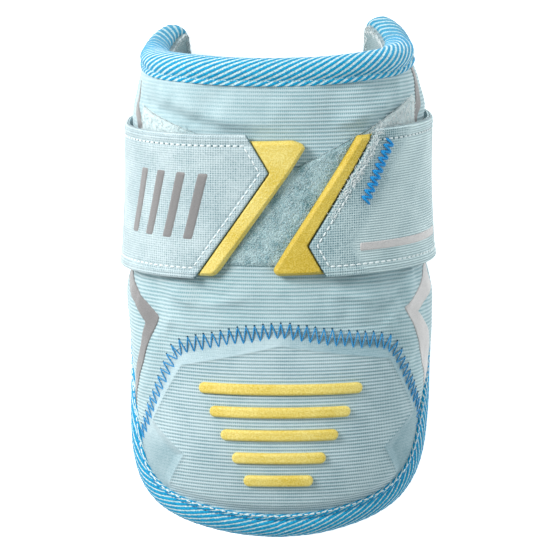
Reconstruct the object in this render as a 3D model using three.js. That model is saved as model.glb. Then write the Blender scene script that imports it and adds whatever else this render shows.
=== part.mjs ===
// Baseball elbow guard: a padded cloth shell around the elbow, open along its back, with a bound rim,
// a domed elbow cover, and a wide strap whose two pointed ends close on a loop panel.
// Millimetres. The guard lies on its open back: +Z is out of its front, +Y is the upper-arm end.

import * as THREE from 'three';

// Overall sizes of the cloth shell
const SHELL_LENGTH = 180;
const SHELL_WIDTH = 108;
const FRONT_HEIGHT = 50;
const AXIS_HEIGHT = 42;
const REAR_DEPTH = 42.8;
const REAR_ANGLE = 139.5;
const FRONT_ROUNDNESS = 2.15;
const REAR_ROUNDNESS = 4;

// Layers of the wall, counted from its outer face
const COVER_THICKNESS = 3;
const PAD_THICKNESS = 4.8;
const LAYER_GAP = 0.75;
const GAP = 0.3;
const CLOSURE_GAP = 0.45;

// Bound rim
const TAPE_CLEARANCE = 0.75;
const TAPE_THICKNESS = 1.1;
const TAPE_FRONT_LEG = 8.6;
const TAPE_REAR_LEG = 4;
const TAPE_INNER_LEG = 4.5;
const TAPE_INNER_REAR_LEG = 2;
const TAPE_TURN = 1.2;
const TAPE_NARROWS = [100, 128];

// Elbow cover
const PLATEAU_LIFT = 1.8;
const PLATEAU_BEVEL = 4;
const RIM_MARGIN = 2;
const SEAM_GAP = 0.3;

// Strap and closure
const PRESS_START = 2;
const PRESS_END = 22;
const STRAP_WIDTH = 51;
const STRAP_MIDDLE = 32.5;
const STRAP_TILT = 1.4;
const STRAP_THICKNESS = 1.6;
const BACK_JOIN = 0.4;
const LOOP_THICKNESS = 0.9;
const HOOK_THICKNESS = 0.75;
const HOOK_REACH = 26;
const HOOK_INSET = 1.6;
const HOOK_ACROSS = [-0.48, 0.48];
const FULL_WIDTH = [-0.5, 0.5];
const TAB_THICKNESS = 2.8;
const TAB_BEVEL = 0.8;
const LOOP_BOTTOM = 11.5;

// Raised bars on the elbow cover
const BAR_COUNT = 5;
const BAR_HEIGHT = 3.8;
const BAR_THICKNESS = 1.4;
const BAR_BEVEL = 0.5;
const BAR_PITCH = 8;
const BAR_FIRST = -32;
const BAR_LONGEST = 58;
const BAR_STEP = 8;

// Mesh fineness
const COLUMN_STEP = 8;
const LAST_EVEN_COLUMN = 120;
const ELBOW_ANGLE = 72;
const WALL_ROWS = 13;
const ELBOW_ROWS = 12;
const REAR_STEPS = 8;
const STRAP_COLUMNS = 20;
const STRAP_ROWS = 6;
const LOOP_COLUMNS = 16;
const LOOP_ROWS = 5;

// Shell sections: place along the length, half width, front height and sideways lean of the middle,
// as shares of the sizes they follow
const SECTIONS = [
  { along: 0.520, half: 0.396, front: 0.820, lean: 0 },
  { along: 0.478, half: 0.421, front: 0.884, lean: 0 },
  { along: 0.439, half: 0.446, front: 0.914, lean: 0 },
  { along: 0.389, half: 0.464, front: 0.930, lean: 0 },
  { along: 0.311, half: 0.470, front: 0.936, lean: 0 },
  { along: 0.178, half: 0.472, front: 0.936, lean: 0 },
  { along: 0.033, half: 0.487, front: 0.934, lean: 0 },
  { along: -0.033, half: 0.506, front: 0.938, lean: 0.004 },
  { along: -0.111, half: 0.501, front: 0.962, lean: 0.007 },
  { along: -0.189, half: 0.486, front: 0.992, lean: 0.006 },
  { along: -0.267, half: 0.481, front: 1.000, lean: 0.003 },
  { along: -0.333, half: 0.482, front: 0.984, lean: 0 },
  { along: -0.400, half: 0.470, front: 0.928, lean: -0.003 },
  { along: -0.456, half: 0.442, front: 0.844, lean: -0.004 },
  { along: -0.520, half: 0.384, front: 0.700, lean: -0.004 },
];

// Upper and lower rim: angle from the front, place along the length on each side
const UPPER_RIM = [
  { angle: 0, left: 0.460, right: 0.460 },
  { angle: 20, left: 0.460, right: 0.462 },
  { angle: 40, left: 0.462, right: 0.467 },
  { angle: 55, left: 0.463, right: 0.470 },
  { angle: 70, left: 0.463, right: 0.474 },
  { angle: 90, left: 0.465, right: 0.478 },
  { angle: 110, left: 0.470, right: 0.486 },
  { angle: 125, left: 0.485, right: 0.501 },
  { angle: 131, left: 0.485, right: 0.503 },
  { angle: 135.5, left: 0.463, right: 0.488 },
  { angle: 138, left: 0.434, right: 0.462 },
  { angle: 139.5, left: 0.400, right: 0.430 },
];
const LOWER_RIM = [
  { angle: 0, left: -0.480, right: -0.480 },
  { angle: 20, left: -0.474, right: -0.473 },
  { angle: 38, left: -0.460, right: -0.456 },
  { angle: 50, left: -0.445, right: -0.438 },
  { angle: 60, left: -0.424, right: -0.414 },
  { angle: 70, left: -0.384, right: -0.370 },
  { angle: 80, left: -0.312, right: -0.298 },
  { angle: 90, left: -0.246, right: -0.236 },
  { angle: 102, left: -0.186, right: -0.180 },
  { angle: 118, left: -0.144, right: -0.144 },
  { angle: 131, left: -0.117, right: -0.117 },
  { angle: 136, left: -0.098, right: -0.098 },
  { angle: 139.5, left: -0.067, right: -0.067 },
];

// Seam over the elbow cover
const SEAM = [
  { angle: 0, left: -0.064, right: -0.064 },
  { angle: 20, left: -0.077, right: -0.078 },
  { angle: 33, left: -0.092, right: -0.086 },
  { angle: 45, left: -0.112, right: -0.094 },
  { angle: 50, left: -0.155, right: -0.112 },
  { angle: 58, left: -0.219, right: -0.172 },
  { angle: 68, left: -0.290, right: -0.226 },
  { angle: 72, left: -0.312, right: -0.246 },
];

// Outline of the raised field of the elbow cover: angle and place along the length
const PLATEAU = [
  { angle: -41, along: -0.137 },
  { angle: 0, along: -0.092 },
  { angle: 45, along: -0.125 },
  { angle: 61, along: -0.241 },
  { angle: 44, along: -0.302 },
  { angle: 53, along: -0.364 },
  { angle: 46, along: -0.560 },
  { angle: -46, along: -0.560 },
  { angle: -50, along: -0.395 },
  { angle: -39, along: -0.314 },
  { angle: -56, along: -0.257 },
];

// Upper edge of the loop panel: angle and place along the length
const LOOP_TOP = [
  { angle: -68, along: 0.358 },
  { angle: -37, along: 0.320 },
  { angle: -6, along: 0.267 },
  { angle: 8, along: 0.256 },
  { angle: 31, along: 0.308 },
  { angle: 68, along: 0.383 },
];

// Pointed strap ends and pull tabs: place across the strap, as a share of its width, and angle of
// each edge
const LEFT_END = [
  { across: -0.5, edge: -34.5 },
  { across: 0.235, edge: -4.2 },
  { across: 0.5, edge: -13.4 },
];
const RIGHT_END = [
  { across: -0.5, edge: 19.5 },
  { across: -0.275, edge: 12.2 },
  { across: 0.5, edge: 38.6 },
];
const LEFT_TAB = [
  { across: -0.478, from: -32.4, to: -26.6 },
  { across: -0.440, from: -31.4, to: -24.4 },
  { across: 0.235, from: -3.4, to: 4.9 },
  { across: 0.395, from: -8.6, to: 11.0 },
  { across: 0.425, from: -9.6, to: 10.0 },
  { across: 0.452, from: -10.4, to: 6.0 },
];
const RIGHT_TAB = [
  { across: -0.478, from: -0.6, to: 17.6 },
  { across: -0.440, from: -2.4, to: 16.6 },
  { across: -0.275, from: 3.8, to: 11.4 },
  { across: 0.440, from: 32.2, to: 35.4 },
  { across: 0.462, from: 33.0, to: 35.8 },
];

const MEAN_RADIUS = SHELL_WIDTH / 2;
const LINING_DEPTH = COVER_THICKNESS + LAYER_GAP + PAD_THICKNESS;
const HOOK_BASE = GAP + LOOP_THICKNESS + CLOSURE_GAP;
const STRAP_BASE = HOOK_BASE + HOOK_THICKNESS + GAP;
const REAR_LIFT = STRAP_THICKNESS + TAPE_THICKNESS + TAPE_CLEARANCE + GAP;

const radians = THREE.MathUtils.degToRad;
const mix = THREE.MathUtils.lerp;
const smooth = THREE.MathUtils.smoothstep;

// Value of one column of a table at a place between its rows, curved or straight
function tableValue(table, key, column, place, curved = true) {
  const rows = [...table].sort((a, b) => a[key] - b[key]);
  const x = THREE.MathUtils.clamp(place, rows[0][key], rows.at(-1)[key]);
  const last = rows.length - 2;
  const i = Math.min(last, Math.max(0, rows.findIndex((row) => row[key] >= x) - 1));
  const [a, b] = [rows[i], rows[i + 1]];
  const span = b[key] - a[key];
  const t = (x - a[key]) / span;
  if (!curved) return mix(a[column], b[column], t);
  const slope = (k) => {
    const [p, q] = [rows[Math.max(0, k - 1)], rows[Math.min(last + 1, k + 1)]];
    return (q[column] - p[column]) / (q[key] - p[key]);
  };
  const s = 1 - t;
  const ends = (1 + 2 * t) * s * s * a[column] + t * t * (3 - 2 * t) * b[column];
  return ends + span * t * s * (s * slope(i) - t * slope(i + 1));
}

// Height along the guard of a rim or seam table at an angle
function edgeAlong(table, angle) {
  return SHELL_LENGTH * tableValue(table, 'angle', angle < 0 ? 'left' : 'right', Math.abs(angle));
}

// Middle of the strap where it crosses an angle
function strapMiddle(angle) {
  const sideways = MEAN_RADIUS * Math.sin(radians(angle));
  return STRAP_MIDDLE + sideways * Math.tan(radians(STRAP_TILT));
}

// How far the strap presses the shell's back wings in
function rearPress(angle, y) {
  const off = Math.abs(y - strapMiddle(angle)) - STRAP_WIDTH / 2;
  return (REAR_LIFT - AXIS_HEIGHT + REAR_DEPTH) * (1 - smooth(off, PRESS_START, PRESS_END));
}

// Outer face of the bare shell at an angle from the front and a place along it
function shellPoint(angle, y) {
  const along = y / SHELL_LENGTH;
  const half = SHELL_WIDTH * tableValue(SECTIONS, 'along', 'half', along);
  const front = FRONT_HEIGHT * tableValue(SECTIONS, 'along', 'front', along);
  const side = Math.sin(radians(angle));
  const out = Math.cos(radians(angle));
  const depth = out >= 0 ? front : REAR_DEPTH - rearPress(angle, y);
  const power = out >= 0 ? FRONT_ROUNDNESS : REAR_ROUNDNESS;
  const radius = (Math.abs(side / half) ** power + Math.abs(out / depth) ** power) ** (-1 / power);
  const middle = SHELL_WIDTH * tableValue(SECTIONS, 'along', 'lean', along);
  return new THREE.Vector3(middle + radius * side, y, AXIS_HEIGHT + radius * out);
}

// Point at a height above the shell's outer face, or below it where the lift is negative
function lifted(angle, y, lift) {
  const step = 0.1;
  const around = shellPoint(angle + step, y).sub(shellPoint(angle - step, y));
  const along = shellPoint(angle, y + step).sub(shellPoint(angle, y - step));
  const normal = around.cross(along).normalize();
  return shellPoint(angle, y).addScaledVector(normal, lift);
}

// The same point, but no lower than a floor height, where the cloth lies flat
function liftedAbove(angle, y, lift, floor) {
  const point = lifted(angle, y, lift);
  point.z = Math.max(point.z, floor);
  return point;
}

// Geometry from points and triangles, with its faces turned outwards
function solid(points, triangles) {
  let volume = 0;
  for (const [a, b, c] of triangles) {
    volume += points[a].dot(new THREE.Vector3().crossVectors(points[b], points[c]));
  }
  const faces = volume < 0 ? triangles.map(([a, b, c]) => [a, c, b]) : triangles;
  const geometry = new THREE.BufferGeometry();
  const places = points.flatMap((point) => point.toArray());
  geometry.setAttribute('position', new THREE.Float32BufferAttribute(places, 3));
  geometry.setIndex(faces.flat());
  geometry.computeVertexNormals();
  return geometry;
}

// Skin over rings of points, each closed on itself. Both halves of a ring are cut on the same slant,
// so that two faces that follow each other stay apart all over.
function skin(rings, closed) {
  const points = rings.flat();
  const size = rings[0].length;
  const triangles = [];
  const count = closed ? rings.length : rings.length - 1;
  for (let i = 0; i < count; i += 1) {
    const next = (i + 1) % rings.length;
    for (let j = 0; j < size; j += 1) {
      const k = (j + 1) % size;
      const [a, b, c, d] = [i * size + j, next * size + j, next * size + k, i * size + k];
      const forward = j < size / 2;
      triangles.push(forward ? [a, b, c] : [a, b, d], forward ? [a, c, d] : [b, c, d]);
    }
  }
  return { points, triangles, size };
}

// Layered sheet: each column is a ring that goes up the outer face and back down the inner one
function layer(columns, rows, outerPoint, innerPoint) {
  const rings = [];
  for (let i = 0; i <= columns; i += 1) {
    const up = [];
    const down = [];
    for (let j = 0; j <= rows; j += 1) {
      up.push(outerPoint(i / columns, j / rows));
      down.unshift(innerPoint(i / columns, j / rows));
    }
    rings.push([...up, ...down]);
  }
  const { points, triangles, size } = skin(rings, false);
  const last = columns * size;
  for (let j = 0; j < rows; j += 1) {
    const [a, b, c, d] = [j, j + 1, size - 2 - j, size - 1 - j];
    triangles.push([a, c, d], [a, b, c]);
    triangles.push([last + a, last + d, last + c], [last + a, last + c, last + b]);
  }
  return solid(points, triangles);
}

// Angles of the wall's columns, closer together towards its rear edges
function wallAngles() {
  const angles = [];
  for (let angle = 0; angle <= LAST_EVEN_COLUMN; angle += COLUMN_STEP) {
    angles.push(angle);
  }
  for (const short of [12, 7.5, 4, 1.5, 0]) {
    angles.push(REAR_ANGLE - short);
  }
  return [...angles.slice(1).map((angle) => -angle).reverse(), ...angles];
}

// Angles of the columns that the elbow cover spans
function elbowAngles() {
  return wallAngles().filter((angle) => Math.abs(angle) <= ELBOW_ANGLE);
}

// Sheet of the wall over given angles, between two edges and two depths
function wallLayer(angles, rows, bottom, top, outerLift, innerLift) {
  const at = (u) => angles[Math.round(u * (angles.length - 1))];
  const place = (u, v) => mix(bottom(at(u)), top(at(u)), v);
  const outer = (u, v) => lifted(at(u), place(u, v), outerLift(at(u), place(u, v)));
  const inner = (u, v) => lifted(at(u), place(u, v), innerLift);
  return layer(angles.length - 1, rows, outer, inner);
}

const upperRim = (angle) => edgeAlong(UPPER_RIM, angle);
const lowerRim = (angle) => edgeAlong(LOWER_RIM, angle);
const seam = (angle) => edgeAlong(SEAM, angle);

// Cover above the seam, running down to the rim beside the elbow cover
function upperCover() {
  const bottom = (angle) => (Math.abs(angle) <= ELBOW_ANGLE ? seam(angle) + SEAM_GAP : lowerRim(angle));
  return wallLayer(wallAngles(), WALL_ROWS, bottom, upperRim, () => 0, -COVER_THICKNESS);
}

// Lift of the raised field, falling to nothing at its bevel and under the bound rim
function plateauLift(angle, y) {
  const flat = PLATEAU.map((row) => (
    new THREE.Vector2(radians(row.angle) * MEAN_RADIUS, row.along * SHELL_LENGTH)
  ));
  const here = new THREE.Vector2(radians(angle) * MEAN_RADIUS, y);
  let nearest = Infinity;
  let inside = false;
  flat.forEach((a, i) => {
    const b = flat[(i + 1) % flat.length];
    const edge = b.clone().sub(a);
    const share = THREE.MathUtils.clamp(here.clone().sub(a).dot(edge) / edge.lengthSq(), 0, 1);
    nearest = Math.min(nearest, a.clone().addScaledVector(edge, share).distanceTo(here));
    const crosses = (a.y > y) !== (b.y > y);
    if (crosses && here.x < a.x + (edge.x * (y - a.y)) / edge.y) inside = !inside;
  });
  if (!inside) return 0;
  const slope = (lowerRim(angle + 1) - lowerRim(angle - 1)) / (radians(2) * MEAN_RADIUS);
  const rimClear = (y - lowerRim(angle)) / Math.hypot(1, slope) - TAPE_FRONT_LEG - RIM_MARGIN;
  return PLATEAU_LIFT * smooth(nearest, 0, PLATEAU_BEVEL) * smooth(rimClear, 0, PLATEAU_BEVEL);
}

function elbowCover() {
  const top = (angle) => seam(angle) - SEAM_GAP;
  return wallLayer(elbowAngles(), ELBOW_ROWS, lowerRim, top, plateauLift, -COVER_THICKNESS);
}

function innerPad() {
  const outer = () => -COVER_THICKNESS - LAYER_GAP;
  return wallLayer(wallAngles(), WALL_ROWS, lowerRim, upperRim, outer, -LINING_DEPTH);
}

// The rim as one closed route of angles and places, clockwise seen from the front
function rimRoute() {
  const angles = wallAngles();
  const rear = (side) => {
    const angle = side * REAR_ANGLE;
    const places = [];
    for (let i = 1; i < REAR_STEPS; i += 1) {
      places.push({ angle, y: mix(upperRim(angle), lowerRim(angle), i / REAR_STEPS) });
    }
    return places;
  };
  return [
    ...angles.map((angle) => ({ angle, y: upperRim(angle) })),
    ...rear(1),
    ...[...angles].reverse().map((angle) => ({ angle, y: lowerRim(angle) })),
    ...rear(-1).reverse(),
  ];
}

// Fold of the binding tape across the rim: distance in from the edge and lift, for leg lengths
function tapeFold(outerLeg, innerLeg) {
  const clear = TAPE_CLEARANCE;
  const top = clear + TAPE_THICKNESS;
  const under = -LINING_DEPTH - clear;
  const base = under - TAPE_THICKNESS;
  return [
    [outerLeg, clear],
    [outerLeg, top],
    [TAPE_TURN, top],
    [-TAPE_TURN * 0.7, GAP],
    [-clear - TAPE_THICKNESS, -LINING_DEPTH / 3],
    [-clear - TAPE_THICKNESS, (-2 * LINING_DEPTH) / 3],
    [-TAPE_TURN * 0.7, -LINING_DEPTH],
    [TAPE_TURN, base],
    [innerLeg, base],
    [innerLeg, under],
    [-clear, under],
    [-clear, clear],
  ];
}

function edgeBinding() {
  const route = rimRoute();
  const count = route.length;
  const width = (angle, y) => shellPoint(angle + 0.5, y).distanceTo(shellPoint(angle - 0.5, y));
  const rings = route.map((here, i) => {
    const before = route[(i + count - 1) % count];
    const after = route[(i + 1) % count];
    const degree = width(here.angle, here.y);
    const run = new THREE.Vector2((after.angle - before.angle) * degree, after.y - before.y).normalize();
    const inward = new THREE.Vector2(run.y, -run.x);
    const rear = smooth(Math.abs(here.angle), ...TAPE_NARROWS);
    const outerLeg = mix(TAPE_FRONT_LEG, TAPE_REAR_LEG, rear);
    const innerLeg = mix(TAPE_INNER_LEG, TAPE_INNER_REAR_LEG, rear);
    const fold = tapeFold(outerLeg, innerLeg);
    return fold.map(([inset, lift]) => {
      const angle = here.angle + (inward.x * inset) / degree;
      return liftedAbove(angle, here.y + inward.y * inset, lift, 0);
    });
  });
  const { points, triangles } = skin(rings, true);
  return solid(points, triangles);
}

function loopPanel() {
  const limit = LOOP_TOP.at(-1).angle;
  const at = (u) => mix(-limit, limit, u);
  const top = (u) => SHELL_LENGTH * tableValue(LOOP_TOP, 'angle', 'along', at(u), false);
  const face = (lift) => (u, v) => lifted(at(u), mix(LOOP_BOTTOM, top(u), v), lift);
  return layer(LOOP_COLUMNS, LOOP_ROWS, face(GAP + LOOP_THICKNESS), face(GAP));
}

// Sheet along the strap between two edges, each an angle at a share of the strap's width
function strapLayer(columns, rows, across, from, to, base, thickness) {
  const face = (lift, floor) => (u, v) => {
    const share = mix(across[0], across[1], v);
    const angle = mix(from(share), to(share), u);
    return liftedAbove(angle, strapMiddle(angle) + STRAP_WIDTH * share, lift, floor);
  };
  return layer(columns, rows, face(base + thickness, 0), face(base, thickness));
}

const strapEdge = (table) => (share) => tableValue(table, 'across', 'edge', share, false);

function strapEnd(side, table) {
  const rear = () => side * REAR_ANGLE;
  const edge = strapEdge(table);
  return strapLayer(STRAP_COLUMNS, STRAP_ROWS, FULL_WIDTH, rear, edge, STRAP_BASE, STRAP_THICKNESS);
}

function strapBack() {
  const start = REAR_ANGLE + BACK_JOIN;
  return strapLayer(6, 2, FULL_WIDTH, () => start, () => 360 - start, STRAP_BASE, STRAP_THICKNESS);
}

// Hook pad under a strap end, set back from the pointed edge
function hookPad(side, table) {
  const edge = strapEdge(table);
  const back = (share) => edge(share) + side * HOOK_INSET;
  const far = (share) => edge(share) + side * HOOK_REACH;
  return strapLayer(4, STRAP_ROWS, HOOK_ACROSS, far, back, HOOK_BASE, HOOK_THICKNESS);
}

// Raised sheet whose upper face is drawn in all round by its bevel
function raised(columns, rows, place, base, thickness, bevel) {
  const turn = THREE.MathUtils.radToDeg(bevel / MEAN_RADIUS);
  const slip = (share) => (share === 0 ? 1 : 0) - (share === 1 ? 1 : 0);
  const outer = (u, v) => {
    const { angle, y } = place(u, v);
    const wide = Math.abs(place(1, v).angle - place(0, v).angle);
    const tall = Math.abs(place(u, 1).y - place(u, 0).y);
    const across = slip(u) * Math.min(turn, wide / 3);
    const along = slip(v) * Math.min(bevel, tall / 3);
    return lifted(angle + across, y + along, base + thickness);
  };
  const inner = (u, v) => {
    const { angle, y } = place(u, v);
    return lifted(angle, y, base);
  };
  return layer(columns, rows, outer, inner);
}

function pullTab(table) {
  const low = table[0].across;
  const high = table.at(-1).across;
  const place = (u, v) => {
    const share = mix(low, high, v);
    const from = tableValue(table, 'across', 'from', share, false);
    const to = tableValue(table, 'across', 'to', share, false);
    const angle = mix(from, to, u);
    return { angle, y: strapMiddle(angle) + STRAP_WIDTH * share };
  };
  return raised(4, 10, place, HOOK_BASE, TAB_THICKNESS, TAB_BEVEL);
}

// One bar of the stack, with rounded ends
function raisedBar(index) {
  const y = BAR_FIRST - index * BAR_PITCH;
  const half = (BAR_LONGEST - index * BAR_STEP) / 2;
  const round = BAR_HEIGHT / 2;
  const place = (u, v) => {
    const along = (2 * u - 1) * half;
    const past = Math.max(0, Math.abs(along) - (half - round)) / round;
    const tall = round * Math.sqrt(Math.max(0.12, 1 - past * past));
    const angle = THREE.MathUtils.radToDeg(Math.asin(along / MEAN_RADIUS));
    return { angle, y: mix(y - tall, y + tall, v) };
  };
  return raised(12, 2, place, PLATEAU_LIFT + GAP, BAR_THICKNESS, BAR_BEVEL);
}

const MATERIALS = {
  cover: { color: '#aec9cf', roughness: 0.9 },
  elbow: { color: '#9cbfc6', roughness: 0.9 },
  lining: { color: '#c3d6da', roughness: 0.95 },
  binding: { color: '#4fb2d8', roughness: 0.8 },
  loop: { color: '#86a9b2', roughness: 1 },
  strap: { color: '#b9cdd0', roughness: 0.85 },
  hook: { color: '#8fa6ab', roughness: 0.8 },
  rubber: { color: '#eadb82', roughness: 0.55 },
};

const group = new THREE.Group();

function add(name, geometry, material) {
  const finish = new THREE.MeshStandardMaterial({ metalness: 0, ...MATERIALS[material] });
  const mesh = new THREE.Mesh(geometry, finish);
  mesh.name = name;
  group.add(mesh);
}

add('upper_cover', upperCover(), 'cover');
add('elbow_cover', elbowCover(), 'elbow');
add('inner_pad', innerPad(), 'lining');
add('edge_binding', edgeBinding(), 'binding');
add('loop_panel', loopPanel(), 'loop');
add('strap_left_end', strapEnd(-1, LEFT_END), 'strap');
add('strap_right_end', strapEnd(1, RIGHT_END), 'strap');
add('strap_back', strapBack(), 'strap');
add('hook_pad_left', hookPad(-1, LEFT_END), 'hook');
add('hook_pad_right', hookPad(1, RIGHT_END), 'hook');
add('pull_tab_left', pullTab(LEFT_TAB), 'rubber');
add('pull_tab_right', pullTab(RIGHT_TAB), 'rubber');
for (let index = 0; index < BAR_COUNT; index += 1) {
  add(`raised_bar_${index + 1}`, raisedBar(index), 'rubber');
}

// The origin is under the middle of the guard's length
const extent = new THREE.Box3().setFromObject(group);
group.position.y = -(extent.min.y + extent.max.y) / 2;

export default group;
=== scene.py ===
"""Baseball elbow guard: padded cloth shell, striped bound rim, domed elbow cover and wide strap."""

import bpy
import numpy as np
from mathutils import Matrix, Vector
from mathutils.geometry import delaunay_2d_cdt


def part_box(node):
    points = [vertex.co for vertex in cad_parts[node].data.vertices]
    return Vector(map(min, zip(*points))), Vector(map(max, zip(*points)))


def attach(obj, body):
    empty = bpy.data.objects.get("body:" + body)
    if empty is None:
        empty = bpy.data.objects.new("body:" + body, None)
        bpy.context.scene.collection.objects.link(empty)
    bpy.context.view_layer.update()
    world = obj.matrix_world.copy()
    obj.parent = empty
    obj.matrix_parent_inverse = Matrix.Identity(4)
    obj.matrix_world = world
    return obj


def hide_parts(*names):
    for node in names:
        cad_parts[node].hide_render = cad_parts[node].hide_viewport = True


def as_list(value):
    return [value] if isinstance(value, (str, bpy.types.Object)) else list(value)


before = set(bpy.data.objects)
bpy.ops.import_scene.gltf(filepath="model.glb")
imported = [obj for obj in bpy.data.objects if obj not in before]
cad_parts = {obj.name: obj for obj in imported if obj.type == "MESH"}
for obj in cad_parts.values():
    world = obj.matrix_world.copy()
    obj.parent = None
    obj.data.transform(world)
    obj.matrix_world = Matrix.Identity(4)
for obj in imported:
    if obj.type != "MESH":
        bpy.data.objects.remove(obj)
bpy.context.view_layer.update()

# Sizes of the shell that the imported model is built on, in millimetres and degrees
SHELL_LENGTH = 180
SHELL_WIDTH = 108
FRONT_HEIGHT = 50
AXIS_HEIGHT = 42
REAR_DEPTH = 42.8
REAR_ANGLE = 139.5
FRONT_ROUNDNESS = 2.15
REAR_ROUNDNESS = 4
COVER_DEPTH = 3
PAD_OUTSIDE = 3.2
LINING_DEPTH = 8.55
ELBOW_ANGLE = 72
PLATEAU_LIFT = 1.8
STRAP_WIDTH = 51
STRAP_MIDDLE = 32.5
STRAP_TILT = 1.4
STRAP_BASE = 2.7
STRAP_THICKNESS = 1.6
REAR_LIFT = 3.75
PRESS_START = 2
PRESS_END = 22
HOOK_BASE = 1.65
HOOK_THICKNESS = 0.75
HOOK_REACH = 26
LOOP_BOTTOM = 11.5
TAPE_FRONT_LEG = 8.6
TAPE_REAR_LEG = 4
TAPE_INNER_LEG = 4.5
TAPE_INNER_REAR_LEG = 2
TAPE_NARROWS = (100, 128)
TAPE_INSIDE = -0.75
STRIPE_SLANT_UPPER = 1.96
STRIPE_SLANT_LOWER = 3.08
STRIPE_SLANT_REAR = 0.45
STRIPE_DRAWN_BEND = 0.55
STRIPE_DRAWN_LOWER = 0.8
MEAN_RADIUS = SHELL_WIDTH / 2
DEGREE = np.radians(1) * MEAN_RADIUS
MM = 0.001

# Shell sections: place along the length, half width, front height, lean, as shares of those sizes
SECTIONS = [
    (-0.52, 0.384, 0.7, -0.004), (-0.456, 0.442, 0.844, -0.004), (-0.4, 0.47, 0.928, -0.003),
    (-0.333, 0.482, 0.984, 0), (-0.267, 0.481, 1.0, 0.003), (-0.189, 0.486, 0.992, 0.006),
    (-0.111, 0.501, 0.962, 0.007), (-0.033, 0.506, 0.938, 0.004), (0.033, 0.487, 0.934, 0),
    (0.178, 0.472, 0.936, 0), (0.311, 0.47, 0.936, 0), (0.389, 0.464, 0.93, 0),
    (0.439, 0.446, 0.914, 0), (0.478, 0.421, 0.884, 0), (0.52, 0.396, 0.82, 0),
]

# Rims and seam: angle from the front, place along the length on the left and on the right
UPPER_RIM = [
    (0, 0.46, 0.46), (20, 0.46, 0.462), (40, 0.462, 0.467), (55, 0.463, 0.47), (70, 0.463, 0.474),
    (90, 0.465, 0.478), (110, 0.47, 0.486), (125, 0.485, 0.501), (131, 0.485, 0.503),
    (135.5, 0.463, 0.488), (138, 0.434, 0.462), (139.5, 0.4, 0.43),
]
LOWER_RIM = [
    (0, -0.48, -0.48), (20, -0.474, -0.473), (38, -0.46, -0.456), (50, -0.445, -0.438),
    (60, -0.424, -0.414), (70, -0.384, -0.37), (80, -0.312, -0.298), (90, -0.246, -0.236),
    (102, -0.186, -0.18), (118, -0.144, -0.144), (131, -0.117, -0.117), (136, -0.098, -0.098),
    (139.5, -0.067, -0.067),
]
SEAM = [
    (0, -0.064, -0.064), (20, -0.077, -0.078), (33, -0.092, -0.086), (45, -0.112, -0.094),
    (50, -0.155, -0.112), (58, -0.219, -0.172), (68, -0.29, -0.226), (72, -0.312, -0.246),
]

# Outline of the raised field of the elbow cover, and upper edge of the loop panel: angle, place along
PLATEAU = [
    (-41, -0.137), (0, -0.092), (45, -0.125), (61, -0.241), (44, -0.302), (53, -0.364), (46, -0.56),
    (-46, -0.56), (-50, -0.395), (-39, -0.314), (-56, -0.257),
]
LOOP_TOP = [
    (-68, 0.358), (-37, 0.32), (-6, 0.267), (8, 0.256), (31, 0.308), (68, 0.383),
]

# Strap ends and pull tabs: place across the strap, as a share of its width, and angles of the edges
LEFT_END = [(-0.5, -34.5), (0.235, -4.2), (0.5, -13.4)]
RIGHT_END = [(-0.5, 19.5), (-0.275, 12.2), (0.5, 40.4)]
LEFT_TAB = [
    (-0.478, -26.6), (-0.44, -24.4), (0.235, 4.9), (0.395, 11.0), (0.425, 10.0), (0.452, 6.0),
]
RIGHT_TAB = [
    (-0.478, -0.6), (-0.44, -2.4), (-0.275, 3.8), (0.44, 32.2), (0.462, 33.0),
]

# Cloth, in millimetres
RIB_PITCH = 1.3
ELBOW_RIB_PITCH = 1.2
RIB_HEIGHT = 0.16
ROW_STEP = 0.3
STRIPE_PITCH = 3.65
DASH_PITCH = 2.5
DASH_LENGTH = 1.85
TAB_BEVEL = 1.1
HEM_RIDGE = 1.4
HEM_STITCH = 3.9
POINT_STITCH = 2.9
COVER_JOINT = 0.015
FLARE = 1.5
SWELL = 0.5
SEAM_TUCK = 0.18
CREASE_SCALE = 2.2
UPPER_WAVES = 0.3
ELBOW_WAVES = 0.15
STRAP_WAVES = 0.16
LINING_WAVES = 0.3
TWILL_HEIGHT = 0.13
HEM_HEIGHT = 0.28
GROOVE_DEPTH = 0.3
HEM_ROLL = 0.9
POINT_ROLL = 0.55
SEAM_REACH = 2.9
SEAM_PITCH = 3.4
TAB_TUCK = 3.2
TAB_HEIGHT = 2.4
HOOK_START = 1.6
HOOK_SHARE = 0.96
BACK_OVERLAP = 3
LOOP_SIDE = 68
FIBRES = 6200
WISPS = 800
STRAP_HAIRS = 420
LINING_HAIRS = 420
BAR_COUNT = 5
BAR_HEIGHT = 3.8
BAR_PITCH = 8
BAR_FIRST = -32
BAR_LONGEST = 58
BAR_STEP = 8

# The part's own lengthwise zero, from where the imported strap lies
strap_low, strap_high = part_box("strap_back")
Y_SHIFT = (strap_low[1] + strap_high[1]) / 2 / MM - STRAP_MIDDLE

random = np.random.default_rng(7)


def smooth(x, low, high):
    """Smooth step from 0 at low to 1 at high."""
    t = np.clip((x - low) / (high - low), 0, 1)
    return t * t * (3 - 2 * t)


def mix(a, b, share):
    return a + (b - a) * share


def bell(off, width):
    return np.exp(-((off / width) ** 2))


def unit(vectors):
    return vectors / np.linalg.norm(vectors, axis=-1, keepdims=True)


def pair(x, y):
    """Flat places from both coordinates."""
    return np.stack(np.broadcast_arrays(x, y), -1)


def left_of(run):
    """Flat directions turned a quarter to the left."""
    return pair(-run[:, 1], run[:, 0])


def running(steps):
    """Running total, from 0."""
    return np.concatenate([[0], np.cumsum(steps)])


def reach_along(line):
    """How far along a line each of its points lies."""
    return running(np.linalg.norm(np.diff(line, axis=0), axis=1))


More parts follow.
